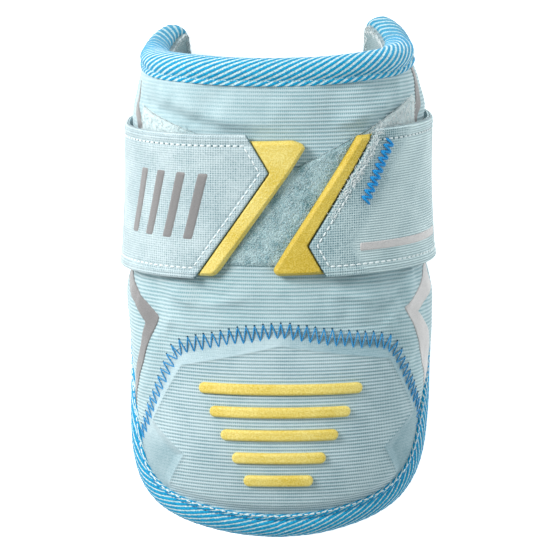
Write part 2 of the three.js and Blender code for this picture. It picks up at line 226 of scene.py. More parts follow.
def curve(table, place, column=1):
    """One column of a table at places between its rows, on a smooth curve."""
    rows = np.array(table, float)
    keys, values = rows[:, 0], rows[:, column]
    x = np.clip(place, keys[0], keys[-1])
    i = np.clip(np.searchsorted(keys, x) - 1, 0, len(keys) - 2)
    before = np.maximum(np.arange(len(keys)) - 1, 0)
    after = np.minimum(np.arange(len(keys)) + 1, len(keys) - 1)
    slope = (values[after] - values[before]) / (keys[after] - keys[before])
    span = keys[i + 1] - keys[i]
    t = (x - keys[i]) / span
    s = 1 - t
    ends = (1 + 2 * t) * s * s * values[i] + t * t * (3 - 2 * t) * values[i + 1]
    return ends + span * t * s * (s * slope[i] - t * slope[i + 1])


def straight(table, place):
    """Second column of a table at places between its rows, on straight lines."""
    return np.interp(place, *np.array(table, float).T)


def edge_along(table, angle):
    """Place of a rim or the seam along the guard, at an angle."""
    angle = np.asarray(angle, float)
    left, right = (curve(table, abs(angle), column) for column in (1, 2))
    return SHELL_LENGTH * np.where(angle < 0, left, right)


def strap_middle(angle):
    sideways = MEAN_RADIUS * np.sin(np.radians(angle))
    return STRAP_MIDDLE + sideways * np.tan(np.radians(STRAP_TILT))


def on_strap(angle, share):
    """Place along the guard at a share of the strap's width from its middle."""
    return strap_middle(angle) + STRAP_WIDTH * share


def strap_share(angle, y):
    return (y - strap_middle(angle)) / STRAP_WIDTH


def beside_strap(angle, y):
    """Distance from the strap's nearer edge, negative under it."""
    return abs(y - strap_middle(angle)) - STRAP_WIDTH / 2


def loop_top(angle):
    """Upper edge of the loop panel."""
    return SHELL_LENGTH * straight(LOOP_TOP, angle)


def shell_point(angle, y):
    """Outer face of the bare shell."""
    angle, y = np.broadcast_arrays(np.asarray(angle, float), np.asarray(y, float))
    along = y / SHELL_LENGTH
    half = SHELL_WIDTH * curve(SECTIONS, along, 1)
    front = FRONT_HEIGHT * curve(SECTIONS, along, 2)
    middle = SHELL_WIDTH * curve(SECTIONS, along, 3)
    pressed = 1 - smooth(beside_strap(angle, y), PRESS_START, PRESS_END)
    press = (REAR_LIFT - AXIS_HEIGHT + REAR_DEPTH) * pressed
    side, out = np.sin(np.radians(angle)), np.cos(np.radians(angle))
    depth = np.where(out >= 0, front, REAR_DEPTH - press)
    power = np.where(out >= 0, FRONT_ROUNDNESS, REAR_ROUNDNESS)
    radius = (abs(side / half) ** power + abs(out / depth) ** power) ** (-1 / power)
    return np.stack([middle + radius * side, y, AXIS_HEIGHT + radius * out], -1)


def shell_normal(angle, y, step=0.1):
    around = shell_point(angle + step, y) - shell_point(angle - step, y)
    along = shell_point(angle, y + step) - shell_point(angle, y - step)
    return unit(np.cross(around, along))


def lifted(angle, y, lift, floor=None):
    """Point at a height above the shell's outer face, and no lower than a floor if one is given."""
    angle, y = np.broadcast_arrays(np.asarray(angle, float), np.asarray(y, float))
    lift = np.broadcast_to(lift, angle.shape)
    point = shell_point(angle, y) + shell_normal(angle, y) * lift[..., None]
    if floor is not None:
        point[..., 2] = np.maximum(point[..., 2], floor)
    return point


def bumpiness(x, y, size, seed, waves=14):
    """Soft random field from -1 to 1 with features of about the given size."""
    rolls = np.random.default_rng(seed)
    total = 0
    for _ in range(waves):
        turn, phase = rolls.uniform(0, 2 * np.pi, 2)
        length = size * rolls.uniform(0.7, 1.8)
        total = total + np.sin((x * np.cos(turn) + y * np.sin(turn)) * 2 * np.pi / length + phase)
    return total / np.sqrt(waves) / 1.5


def line_distance(x, y, a, b, low=0, high=1):
    """Distance of points from a straight line, from share low to share high of the way from a to b."""
    run = b - a
    share = np.clip(((x - a[0]) * run[0] + (y - a[1]) * run[1]) / (run @ run), low, high)
    return np.hypot(x - a[0] - share * run[0], y - a[1] - share * run[1])


def outline_distance(x, y, outline):
    """Distance of points from a closed outline, positive inside it."""
    nearest = np.full(x.shape, np.inf)
    inside = np.zeros(x.shape, bool)
    for a, b in zip(outline, np.roll(outline, -1, axis=0)):
        nearest = np.minimum(nearest, line_distance(x, y, a, b))
        if a[1] != b[1]:
            run = b - a
            crosses = (a[1] > y) != (b[1] > y)
            inside ^= crosses & (x < a[0] + run[0] * (y - a[1]) / run[1])
    return np.where(inside, nearest, -nearest)


# Mesh building


def piece(name, points, faces, uv, material, slot, cad=False, fields=None):
    """Closed mesh from points in millimetres and triangles, set on the part's body. With cad it stands
    for the CAD node of its name. fields are named values at the points, for the material."""
    node = name
    if cad:
        name = f"{name}_{slot.split('_')[-1]}"
    points = np.asarray(points, float).reshape(-1, 3)
    faces = np.asarray(faces, int).reshape(-1, 3)
    faces = faces[(faces != np.roll(faces, 1, axis=1)).all(1)]
    used, faces = np.unique(faces, return_inverse=True)
    faces = faces.reshape(-1, 3)
    points = points[used]
    a, b, c = (points[faces[:, k]] for k in range(3))
    if (a * np.cross(b, c)).sum() < 0:
        faces = faces[:, ::-1]
    places = (points + [0, Y_SHIFT, 0]) * MM
    mesh = bpy.data.meshes.new(name)
    mesh.vertices.add(len(places))
    mesh.vertices.foreach_set("co", places.ravel())
    mesh.loops.add(faces.size)
    mesh.loops.foreach_set("vertex_index", faces.ravel())
    mesh.polygons.add(len(faces))
    mesh.polygons.foreach_set("loop_start", np.arange(0, faces.size, 3))
    mesh.polygons.foreach_set("use_smooth", np.ones(len(faces), bool))
    mesh.update(calc_edges=True)
    flat = np.asarray(uv, float).reshape(-1, 2)[used][faces.ravel()]
    mesh.uv_layers.new(name="weave").data.foreach_set("uv", flat.ravel())
    for field, values in (fields or {}).items():
        attribute = mesh.attributes.new(field, "FLOAT", "POINT")
        attribute.data.foreach_set("value", np.asarray(values, float).ravel()[used])
    shape = bpy.data.objects.new(name, mesh)
    bpy.context.collection.objects.link(shape)
    mesh.materials.append(material)
    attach(shape, "root")
    if cad:
        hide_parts(node)
    return shape


def grid_faces(ids):
    """Triangles over a grid of point numbers."""
    a, b, c, d = ids[:-1, :-1], ids[1:, :-1], ids[1:, 1:], ids[:-1, 1:]
    return np.concatenate([np.stack(t, -1).reshape(-1, 3) for t in ((a, b, c), (a, c, d))])


def wall_faces(first, second):
    """Triangles between two runs of as many points."""
    return grid_faces(np.stack([first, second]))


def closed_sheet(outer, inner):
    """Points and triangles of a closed sheet between two grids of the same size."""
    columns, rows = outer.shape[:2]
    ids = np.arange(columns * rows).reshape(columns, rows)
    under = ids + columns * rows
    faces = [grid_faces(ids), grid_faces(under)[:, ::-1]]
    for run, back in ((np.s_[:, 0], False), (np.s_[-1], False), (np.s_[:, -1], True), (np.s_[0], True)):
        wall = wall_faces(ids[run], under[run])
        faces.append(wall if back else wall[:, ::-1])
    return np.concatenate([outer.reshape(-1, 3), inner.reshape(-1, 3)]), np.concatenate(faces)


def layer(name, angle, y, outer, inner, material, slot, floors=(None, None), weave_zero=0, **fields):
    """Closed sheet between two lifts over a grid of angles and places along."""
    both = [lifted(angle, y, lift, floor) for lift, floor in zip((outer, inner), floors)]
    flat = pair(angle * DEGREE, y - weave_zero).reshape(-1, 2)
    fields = {key: np.tile(np.broadcast_to(field, y.shape).ravel(), 2) for key, field in fields.items()}
    return piece(name, *closed_sheet(*both), np.vstack([flat, flat]), material, slot, True, fields)


def zipped(first, second, first_places, second_places):
    """Triangles between two runs of points of different fineness."""
    i = j = 0
    faces = []
    while i < len(first) - 1 or j < len(second) - 1:
        if j == len(second) - 1 or (i < len(first) - 1 and first_places[i + 1] <= second_places[j + 1]):
            faces.append((first[i], first[i + 1], second[j]))
            i += 1
        else:
            faces.append((first[i], second[j + 1], second[j]))
            j += 1
    return np.array(faces)


def cover_layer(name, angles, bottom, top, lift, material, slot):
    """Cover with rows at even places along the guard, so that every rib has its own relief."""
    low, high = bottom(angles), top(angles)
    places = np.arange(low.min() - ROW_STEP, high.max() + 2 * ROW_STEP, ROW_STEP)
    count = len(places)
    first = np.searchsorted(places, low, "right") - 1
    last = np.searchsorted(places, high, "left")
    rows = np.clip(np.arange(count), first[:, None], last[:, None])
    ids = rows + count * np.arange(len(angles))[:, None]
    y = np.clip(places[None], low[:, None], high[:, None])
    across = np.repeat(angles[:, None], count, 1)
    outer = lifted(across, y, lift(across, y))
    inner_y = mix(low[:, None], high[:, None], np.linspace(0, 1, 12))
    inner = lifted(angles[:, None], inner_y, -COVER_DEPTH)
    under = ids.size + np.arange(inner_y.size).reshape(inner_y.shape)
    faces = [grid_faces(ids), grid_faces(under)[:, ::-1]]
    faces += [wall_faces(ids[:, 0], under[:, 0])[:, ::-1], wall_faces(ids[:, -1], under[:, -1])]
    for column, back in ((0, False), (-1, True)):
        run = np.unique(ids[column])
        run_y = y[column, run - ids[column].min() + first[column]]
        wall = zipped(run, under[column], run_y, inner_y[column])
        faces.append(wall[:, ::-1] if back else wall)
    along = y / SHELL_LENGTH
    # Painted shade: the drawn-tight cloth is darkened on the right side, which faces away from the key
    # light, and on the notch facets low on both sides
    notch = smooth(abs(across), 36, 41) * smooth(along, -0.43, -0.37) * (1 - smooth(along, -0.32, -0.27))
    painted_side_shade = np.maximum(smooth(across, -5, 25), 0.7 * notch)
    beneath = np.zeros(inner_y.size)
    fields = {
        "ribbed": np.append(rib_share(across, y), beneath + 1),
        "painted_side_shade": np.append(painted_side_shade, beneath),
    }
    uv = np.concatenate([pair(across * DEGREE, y).reshape(-1, 2), pair(beneath, beneath)])
    points = np.concatenate([outer.reshape(-1, 3), inner.reshape(-1, 3)])
    return piece(name, points, np.concatenate(faces), uv, material, slot, True, fields)


def rounded(outline, radius, steps=5):
    """Outline with each corner turned on a curve."""
    made = []
    for before, here, after in zip(np.roll(outline, 1, axis=0), outline, np.roll(outline, -1, axis=0)):
        to_before, to_after = before - here, after - here
        near = min(radius, 0.45 * np.linalg.norm(to_before), 0.45 * np.linalg.norm(to_after))
        start, end = here + unit(to_before) * near, here + unit(to_after) * near
        for t in np.linspace(0, 1, steps):
            made.append((1 - t) ** 2 * start + 2 * t * (1 - t) * here + t * t * end)
    return np.array(made)


def resampled(line, step, closed=False):
    """Line with points an even step apart."""
    line = np.asarray(line, float)
    if closed:
        line = np.vstack([line, line[:1]])
    reach = reach_along(line)
    places = np.linspace(0, reach[-1], max(3, round(reach[-1] / step)) + 1)
    if closed:
        places = places[:-1]
    return np.stack([np.interp(places, reach, line[:, k]) for k in range(line.shape[1])], -1)


def slab(name, outline, top, bottom, spacing, corner=0.8, crease=0.0, **given):
    """Closed slab on the shell inside a flat outline. top and bottom give lifts at angle, y and inset. A
    crease is the inset of a line of points where the top turns sharply."""
    edge = resampled(rounded(np.asarray(outline, float), corner), spacing, closed=True)
    low, high = edge.min(0), edge.max(0)
    x, y = (g.ravel() for g in np.meshgrid(*(np.arange(low[k], high[k], spacing) for k in (0, 1))))
    x = x + (np.round((y - low[1]) / spacing) % 2) * spacing / 2
    depth = outline_distance(x, y, edge)
    inside = (depth > spacing * 0.55) & ((crease == 0) | (abs(depth - crease) > spacing * 0.45))
    flat = np.vstack([edge, pair(x[inside], y[inside])])
    if crease:
        run = unit(np.roll(edge, -1, axis=0) - np.roll(edge, 1, axis=0))
        for side in (-1, 1):
            ring = edge + crease * side * left_of(run)
            kept = abs(outline_distance(ring[:, 0], ring[:, 1], edge) - crease) < 0.05
            flat = np.vstack([flat, ring[kept]])
    made = delaunay_2d_cdt([Vector(p) for p in flat], [], [list(range(len(edge)))], 1, 1e-5)
    flat = np.array([tuple(p) for p in made[0]])
    faces = np.array(made[2])
    inset = np.maximum(0, outline_distance(flat[:, 0], flat[:, 1], edge))
    angle, along = flat[:, 0] / DEGREE, flat[:, 1]
    upper = lifted(angle, along, top(angle, along, inset))
    lower = lifted(angle, along, bottom(angle, along, inset))
    sides = np.concatenate([faces[:, [0, 1]], faces[:, [1, 2]], faces[:, [2, 0]]])
    seen = {(a, b) for a, b in sides.tolist()}
    rim = np.array([(a, b) for a, b in sides.tolist() if (b, a) not in seen])
    count = len(flat)
    walls = [np.stack([rim[:, 1], rim[:, 0], rim[:, 0] + count], -1)]
    walls.append(np.stack([rim[:, 1], rim[:, 0] + count, rim[:, 1] + count], -1))
    faces = np.concatenate([faces, faces[:, ::-1] + count, *walls])
    return piece(name, np.vstack([upper, lower]), faces, np.vstack([flat, flat]), **given)


def tubes(lines, radius, up, flat=1.0, sides=6):
    """Points, triangles and thread coordinates of closed threads: lines is (threads, points, 3)."""
    count, steps = lines.shape[:2]
    run = unit(np.gradient(lines, axis=1))
    side = unit(np.cross(run, up))
    rise = np.cross(side, run)
    taper = radius * np.sqrt(np.clip(1 - np.linspace(-1, 1, steps) ** 4, 0.05, 1))
    turn = np.arange(sides) * 2 * np.pi / sides
    wide = side[:, :, None] * (np.cos(turn)[:, None] * taper[:, None, None])
    tall = rise[:, :, None] * (np.sin(turn)[:, None] * taper[:, None, None]) * flat
    rings = lines[:, :, None] + wide + tall
    tips = np.stack([lines[:, 0] - run[:, 0] * radius * 0.4, lines[:, -1] + run[:, -1] * radius * 0.4], 1)
    size = steps * sides + 2
    points = np.concatenate([rings.reshape(count, -1, 3), tips], 1)
    ids = np.arange(steps * sides).reshape(steps, sides)
    ids = np.hstack([ids, ids[:, :1]])
    faces = [grid_faces(ids)]
    first, last = steps * sides, steps * sides + 1
    faces.append(np.stack([ids[0, 1:], ids[0, :-1], np.full(sides, first)], -1))
    faces.append(np.stack([ids[-1, :-1], ids[-1, 1:], np.full(sides, last)], -1))
    faces = np.concatenate(faces)
    faces = (faces[None] + size * np.arange(count)[:, None, None]).reshape(-1, 3)
    length = np.linalg.norm(np.diff(lines, axis=1), axis=-1).sum(1)
    along = np.linspace(0, 1, steps)[None, :, None] * length[:, None, None]
    uv = np.zeros((count, size, 2))
    uv[:, : steps * sides, 0] = np.broadcast_to(along, (count, steps, sides)).reshape(count, -1)
    uv[:, : steps * sides, 1] = np.tile(np.arange(sides) / sides, steps)
    return points.reshape(-1, 3), faces, uv.reshape(-1, 2)


def joined(parts):
    """Several meshes as one set of points, triangles and coordinates."""
    points, faces, uv, start = [], [], [], 0
    for p, f, t in parts:
        points.append(p)
        faces.append(f + start)
        uv.append(t)
        start += len(p)
    return np.vstack(points), np.vstack(faces), np.vstack(uv)


def dashes(line, lift, length=DASH_LENGTH, pitch=DASH_PITCH, radius=0.27, dip=0.35, offset=0.0):
    """Running stitch on a flat line, at lift(angle, y). With an offset of half a pitch it makes the short
    dashes between the stitches that carry the painted shade of the needle holes."""
    line = resampled(line, 0.2)
    reach = reach_along(line)
    count = int((reach[-1] - length) / pitch) + 1
    starts = (reach[-1] - (count - 1) * pitch - length) / 2 + np.arange(count) * pitch + offset
    starts = starts[: count - (offset > 0)]
    shares = np.linspace(0, 1, 7)
    places = starts[:, None] + shares * length
    x, y = (np.interp(places, reach, line[:, k]) for k in (0, 1))
    angle = x / DEGREE
    arch = radius * 0.7 - dip * (2 * shares - 1) ** 4
    middle = lifted(angle, y, lift(angle, y) + arch)
    return tubes(middle, radius, shell_normal(angle, y), flat=0.8)


# Shape of the cloth


def slope_distance(table, angle, y):
    """Distance above a rim or the seam, square to it."""
    slope = (edge_along(table, angle + 1) - edge_along(table, angle - 1)) / (2 * DEGREE)
    return (y - edge_along(table, angle)) / np.hypot(1, slope)


def rim_clear(angle, y):
    """How far a place lies inside the bound lower rim."""
    return slope_distance(LOWER_RIM, angle, y) - TAPE_FRONT_LEG


def seam_clear(angle, y):
    """Distance above the seam of the elbow cover, negative below it."""
    return slope_distance(SEAM, angle, y)


def on_elbow(angle, y):
    return (abs(angle) <= ELBOW_ANGLE) & (seam_clear(angle, y) < 0)


def seam_tuck(angle, y):
    return SEAM_TUCK * bell(seam_clear(angle, y), 1.6)


PLATEAU_FLAT = np.array([(a * DEGREE, p * SHELL_LENGTH) for a, p in PLATEAU])

# Soft creases of the cloth: angle and place of both ends, width and height
CREASES = [
    (-47, 0.5, -36, -3.5, 1.6, 0.5), (-40, 4, -20, -3, 2.4, -0.5), (-36, -3.5, -14, -0.5, 1.8, 0.45),
    (-62, 3, -40, -9, 2.6, -0.4), (66, 8, 44, -3, 2.6, 0.6), (60, 4, 40, -7, 2.2, -0.55),
    (42, -2, 20, 1.5, 1.8, 0.4), (52, -2, 47, -12, 1.6, 0.35), (-51, -8, -56, -19, 1.4, 0.35),
    (-47, -8, -51, -17, 1.4, 0.3), (-68, 66, -30, 60, 2.6, -0.5), (-60, 71, -10, 58, 3.0, 0.5),
    (-36, 66, 12, 54, 3.4, 0.45), (58, 71, 14, 55, 3.6, 0.6), (64, 66, 22, 53, 3.0, -0.6),
]


# Padding of the upper cover, by cloth simulation on the cover laid flat
CLOTH_STEP = 2.4
CLOTH_FRAMES = 20
CLOTH_PRESSURE = 4
CLOTH_SPARE = 0.03
CLOTH_CAP = 1.4
CLOTH_X = np.arange(-REAR_ANGLE * DEGREE, REAR_ANGLE * DEGREE + CLOTH_STEP, CLOTH_STEP)
CLOTH_Y = np.arange(-SHELL_LENGTH / 2, SHELL_LENGTH / 2 + CLOTH_STEP, CLOTH_STEP)


def cloth_free(angle, y):
    """Where the upper cover is neither sewn nor pressed down."""
    in_rims = (y < edge_along(UPPER_RIM, angle) - TAPE_FRONT_LEG - 1) & (rim_clear(angle, y) > 1)
    off_seam = (abs(angle) > ELBOW_ANGLE + 3) | (seam_clear(angle, y) > 4)
    off_loop = (abs(angle) > LOOP_SIDE + 1) | (y > loop_top(angle) + 1) | (y < LOOP_BOTTOM - 1)
    off_ends = (beside_strap(angle, y) > 1.5) & (abs(angle) < REAR_ANGLE - 8)
    return in_rims & off_seam & off_loop & off_ends


def simulated_padding():
    """How far the padded cloth swells and wrinkles above its flat grid, in millimetres. It is held along
    the rims, the seam, the loop panel and the strap, and has a little spare length in between."""
    x, y = np.meshgrid(CLOTH_X, CLOTH_Y, indexing="ij")
    free = cloth_free(x / DEGREE, y)
    start = np.where(free, 0.2 * bumpiness(x, y * 1.7, 26, 61), 0)
    ids = np.arange(x.size).reshape(x.shape)
    squares = np.stack([ids[:-1, :-1], ids[1:, :-1], ids[1:, 1:], ids[:-1, 1:]], -1).reshape(-1, 4)
    mesh = bpy.data.meshes.new("padding")
    mesh.from_pydata((np.stack([x, y, start], -1).reshape(-1, 3) * MM).tolist(), [], squares.tolist())
    padding = bpy.data.objects.new("padding", mesh)
    bpy.context.collection.objects.link(padding)
    padding.vertex_groups.new(name="held").add(ids[~free].tolist(), 1.0, "REPLACE")
    cloth = padding.modifiers.new("cloth", "CLOTH")
    cloth.settings.vertex_group_mass = "held"
    cloth.settings.effector_weights.gravity = 0
    cloth.settings.use_pressure = True
    cloth.settings.uniform_pressure_force = CLOTH_PRESSURE
    cloth.settings.shrink_min = -CLOTH_SPARE
    cloth.collision_settings.use_collision = False
    cloth.point_cache.frame_end = CLOTH_FRAMES
    for step in range(1, CLOTH_FRAMES + 1):
        bpy.context.scene.frame_set(step)
    settled = padding.evaluated_get(bpy.context.evaluated_depsgraph_get())
    places = np.empty(x.size * 3)
    settled.data.vertices.foreach_get("co", places)
    bpy.data.objects.remove(padding)
    bpy.data.meshes.remove(mesh)
    bpy.context.scene.frame_set(1)
    risen = places.reshape(*x.shape, 3)[..., 2] / MM
    return CLOTH_CAP * np.tanh(risen / CLOTH_CAP)


PADDING = simulated_padding()


def padding_lift(angle, y):
    """The simulated lift between the grid's points, on a smooth curve through them."""
    angle, y = np.broadcast_arrays(np.asarray(angle, float), np.asarray(y, float))
    places = (angle * DEGREE - CLOTH_X[0]) / CLOTH_STEP, (y - CLOTH_Y[0]) / CLOTH_STEP
    weights, picks = [], []
    for place, size in zip(places, PADDING.shape):
        nearest = np.clip(np.rint(place), 1, size - 2).astype(int)
        off = np.clip(place - nearest, -0.5, 0.5)
        weights.append((0.5 * (0.5 - off) ** 2, 0.75 - off**2, 0.5 * (0.5 + off) ** 2))
        picks.append(nearest)
    total = 0
    for i in (0, 1, 2):
        for j in (0, 1, 2):
            total = total + weights[0][i] * weights[1][j] * PADDING[picks[0] + i - 1, picks[1] + j - 1]
    at_front = mix(0.45, 0.9, smooth(abs(angle), 10, 38))
    at_side = 1 - 0.6 * smooth(abs(angle), 64, 82)
    return total * at_front * at_side


def creases(angle, y):
    total = 0
    x = angle * DEGREE
    for a0, y0, a1, y1, width, height in CREASES:
        start, end = np.array([a0 * DEGREE, y0]), np.array([a1 * DEGREE, y1])
        run = end - start
        share = ((x - start[0]) * run[0] + (y - start[1]) * run[1]) / (run @ run)
        off = ((x - start[0]) * run[1] - (y - start[1]) * run[0]) / np.hypot(*run)
        ends = smooth(share, -0.15, 0.25) * (1 - smooth(share, 0.7, 1.15))
        total = total + height * ends * bell(off, width)
    return CREASE_SCALE * total


def upper_lift(angle, y):
    """Lift of the upper cover without its ribs."""
    off_strap = beside_strap(angle, y)
    clear = smooth(off_strap, -1, 5)
    swell = SWELL * clear * bell(off_strap - 7, 6)
    over_strap = y - strap_middle(angle) - STRAP_WIDTH / 2
    flare = FLARE * bell(abs(angle) - 92, 20) * smooth(over_strap, 12, 1) * smooth(over_strap, -6, 0)
    loose = bumpiness(angle * DEGREE, y * 1.6, 34, 3) * UPPER_WAVES * clear
    tuck = np.where(abs(angle) < ELBOW_ANGLE + 4, seam_tuck(angle, y), 0)
    return swell + flare + loose + creases(angle, y) * clear - tuck + padding_lift(angle, y)


def elbow_lift(angle, y):
    """Lift of the elbow cover without its ribs."""
    inset = outline_distance(angle * DEGREE, y, PLATEAU_FLAT)
    rise = PLATEAU_LIFT * np.clip((inset + 4.2) / 4.2, 0, 1) ** 1.3
    crease = 0.3 * bell(inset - 0.1, 0.55)
    loose = bumpiness(angle * DEGREE, y, 40, 5) * ELBOW_WAVES
    return (rise + crease + loose) * smooth(rim_clear(angle, y), 0.5, 5) - seam_tuck(angle, y)


def rib_share(angle, y):
    """How strongly the ribs show: little on the stretched band round the raised field."""
    inset = outline_distance(angle * DEGREE, y, PLATEAU_FLAT)
    above = mix(1, mix(0.36, 1.2, smooth(angle, -48, 40)), smooth(y, 40, 60))
    return np.where(on_elbow(angle, y), mix(0.1, 1, smooth(inset, -0.2, 0.8)), above)


def ribs(angle, y, pitch=RIB_PITCH):
    wave = 0.5 - 0.5 * np.cos(2 * np.pi * y / pitch)
    return -RIB_HEIGHT * wave * rib_share(angle, y)


def cover_lift(angle, y):
    """Lift of whichever cover shows at a place, without its ribs."""
    return np.where(on_elbow(angle, y), elbow_lift(angle, y), upper_lift(angle, y))


# Materials


def linear(tint):
    """Linear colour from the usual 0 to 255 values."""
    value = np.array(tint) / 255
    value = np.where(value <= 0.04045, value / 12.92, ((value + 0.055) / 1.055) ** 2.4)
    return (*(float(v) for v in value), 1.0)


class Value:
    """A number that a material works out at every point, with the usual signs for sums."""

    def __init__(self, finish, socket):
        self.finish, self.socket = finish, socket

    def __add__(self, other):
        return self.finish.maths("ADD", self, other)

    def __mul__(self, other):
        return self.finish.maths("MULTIPLY", self, other)

    def __rsub__(self, other):
        return self.finish.maths("SUBTRACT", other, self)

    __radd__ = __add__
    __rmul__ = __mul__


class Finish:
    """A material and the few kinds of node that its pattern is made of. Its colours are values from 0 to
    255."""

    def __init__(self, name, roughness, specular=0.3, sheen=0.0):
        self.material = bpy.data.materials.new(name)
        self.material.use_nodes = True
        self.tree = self.material.node_tree
        self.shader = self.tree.nodes["Principled BSDF"]
        self.shader.inputs["Roughness"].default_value = roughness
        self.shader.inputs["Specular IOR Level"].default_value = specular
        if sheen:
            self.shader.inputs["Sheen Weight"].default_value = sheen
            self.shader.inputs["Sheen Roughness"].default_value = 0.5
        weave = self.tree.nodes.new("ShaderNodeUVMap")
        weave.uv_map = "weave"
        split = self.tree.nodes.new("ShaderNodeSeparateXYZ")
        self.tree.links.new(weave.outputs[0], split.inputs[0])
        self.u, self.v = (Value(self, split.outputs[k]) for k in (0, 1))
        self.place = self.tree.nodes.new("ShaderNodeTexCoord").outputs["Object"]

    def put(self, value, socket):
        if isinstance(value, Value):
            value = value.socket
        if isinstance(value, bpy.types.NodeSocket):
            self.tree.links.new(value, socket)
        elif isinstance(value, tuple) and len(value) == 3:
            socket.default_value = linear(value)
        else:
            socket.default_value = value

    def node(self, kind, values, inputs=(0, 1, 2, 3, 4), **settings):
        """A node with its settings, and values in its first inputs or in those named."""
        node = self.tree.nodes.new(kind)
        for setting, value in settings.items():
            setattr(node, setting, value)
        for value, key in zip(values, inputs):
            self.put(value, node.inputs[key])
        return node

    def maths(self, operation, *values):
        return Value(self, self.node("ShaderNodeMath", values, operation=operation).outputs[0])

    def wave(self, place, pitch):
        """From 0 to 1 and back over each pitch, 1 at zero."""
        turn = self.maths("MULTIPLY_ADD", place, 2 * np.pi / pitch, 0.0)
        return self.maths("MULTIPLY_ADD", self.maths("COSINE", turn), 0.5, 0.5)

    def step(self, *values):
        """Smooth step of a value between low and high, from start to end if they are given."""
        node = self.node("ShaderNodeMapRange", values, interpolation_type="SMOOTHSTEP")
        return Value(self, node.outputs[0])

    def field(self, name):
        return Value(self, self.node("ShaderNodeAttribute", (), attribute_name=name).outputs["Fac"])

    def noise(self, size, detail=2.0, roughness=0.5):
        """Noise with features of a size in millimetres."""
        values = self.place, 1 / (size * MM), detail, roughness
        node = self.node("ShaderNodeTexNoise", values, ("Vector", "Scale", "Detail", "Roughness"))
        return Value(self, node.outputs["Fac"])

    def grain(self, size, detail=2.0, start=0.0, end=1.0, roughness=0.5):
        """Noise drawn out between two values."""
        return self.step(self.noise(size, detail, roughness), 0.3, 0.7, start, end)

    def blend(self, share, a, b):
        return self.node("ShaderNodeMix", (share, a, b), (0, 6, 7), data_type="RGBA").outputs[2]

    def finish(self, tint, height=None, depth=0.1, roughness=None):
        """Sets the colour and the relief, whose full height is depth millimetres."""
        self.put(tint, self.shader.inputs["Base Color"])
        if roughness is not None:
            self.put(roughness, self.shader.inputs["Roughness"])
        if height is not None:
            bump = self.node("ShaderNodeBump", (depth * MM, height), ("Distance", "Height"))
            self.tree.links.new(bump.outputs[0], self.shader.inputs["Normal"])
        return self.material


def ribbed_cloth(name, light, deep, pitch):
    """Stretch cloth with raised ribs. Besides their relief, the grooves are darkened in colour as painted
    shade, in a row of small dark gaps between the cross threads. Where it is drawn tight the ribs fade to
    fine threads."""
    made = Finish(name, 0.78, 0.25, sheen=0.25)
    ribbed = made.field("ribbed")
    rib, thread = made.wave(made.v, pitch), made.wave(made.u, 0.78)
    # Painted shade in the grooves, on top of the ribs' real relief
    gap = (1 - rib) * (0.4 + thread * 0.6)
    cloudy, fine = made.grain(9, 3, -0.08, 0.08), made.grain(0.35, 2, -0.12, 0.12)
    # The drawn-tight cloth's own tone, plus painted shade from a field on the right side and on the notch
    # facets
    tight = 0.26 + made.field("painted_side_shade") * 0.4 + thread * made.wave(made.v, 0.6) * 0.25
    shade = gap * ribbed + tight * (1 - ribbed) + cloudy + fine
    height = (rib * 0.5 + thread * 0.35) * ribbed + fine * 0.8
    return made.finish(made.blend(shade, light, deep), height, 0.14)


def canvas(name, light, deep, along, across, ribs_from=None):
    """Woven strap cloth: fine threads both ways, with lengthwise ribs beyond a distance from its point,
    and painted shade along the pointed edge, where the strap's edge meets the tab."""
    made = Finish(name, 0.72, 0.3, sheen=0.2)
    off_point = made.field("off_point")
    warp = made.wave(made.u, along) * made.grain(1.6, 2, 0.5, 1.0)
    mesh = (0.25 + warp * 0.75) * (0.25 + made.wave(made.v, across) * 0.75)
    rough = made.grain(0.45, 3, -0.16, 0.16)
    shade, height = mesh * 0.95 + rough, mesh + rough
    if ribs_from:
        lines = made.wave(made.v, 0.87) * (0.7 + made.wave(made.u, 0.7) * 0.3)
        share = made.step(off_point, ribs_from, ribs_from + 4)
        shade = (shade + 0.22) * (1 - share) + (lines * 0.75 + rough * 0.4) * share
        height = height * (1 - share) + lines * share
    tint = made.blend(shade + made.grain(12, 2, -0.1, 0.1), light, deep)
    # Painted shade along the pointed edge, where the strap's edge meets the tab
    point_edge_shade = made.step(off_point, 0.0, 0.35)
    return made.finish(made.blend(point_edge_shade, (92, 126, 136), tint), 1 - height, 0.16)


def striped_tape(name):
    """Twill tape with slanting stripes; u counts the stripes."""
    made = Finish(name, 0.62, 0.25)
    turn = made.wave(made.u, 1.0) + made.grain(0.45, 2, -0.14, 0.14) + made.field("lower") * 0.16
    share = made.step(turn, 0.33, 0.5)
    pale = made.blend(made.grain(0.6), (222, 240, 243), (150, 206, 220))
    blue = made.blend(made.grain(0.8), (0, 134, 184), (0, 166, 214))
    tint = made.blend(share * (1 - share) * 2.4, made.blend(share, pale, blue), (0, 92, 126))
    # Painted shade: the tape on the rear hooks is darkened towards (70, 126, 142) to tone down the key
    # light falling on them
    tint = made.blend(made.field("hooked") * 0.34, tint, (70, 126, 142))
    return made.finish(tint, share * 0.7 + made.wave(made.u, 0.25) * 0.3, 0.28)


def knit_lining(name):
    made = Finish(name, 0.85, 0.2, sheen=0.3)
    loops = made.wave(made.u, 0.95) * made.wave(made.v, 0.8)
    tint = made.blend(loops + made.grain(0.6, 2, -0.2, 0.2), (168, 190, 194), (104, 134, 142))
    return made.finish(tint, 1 - loops, 0.2)


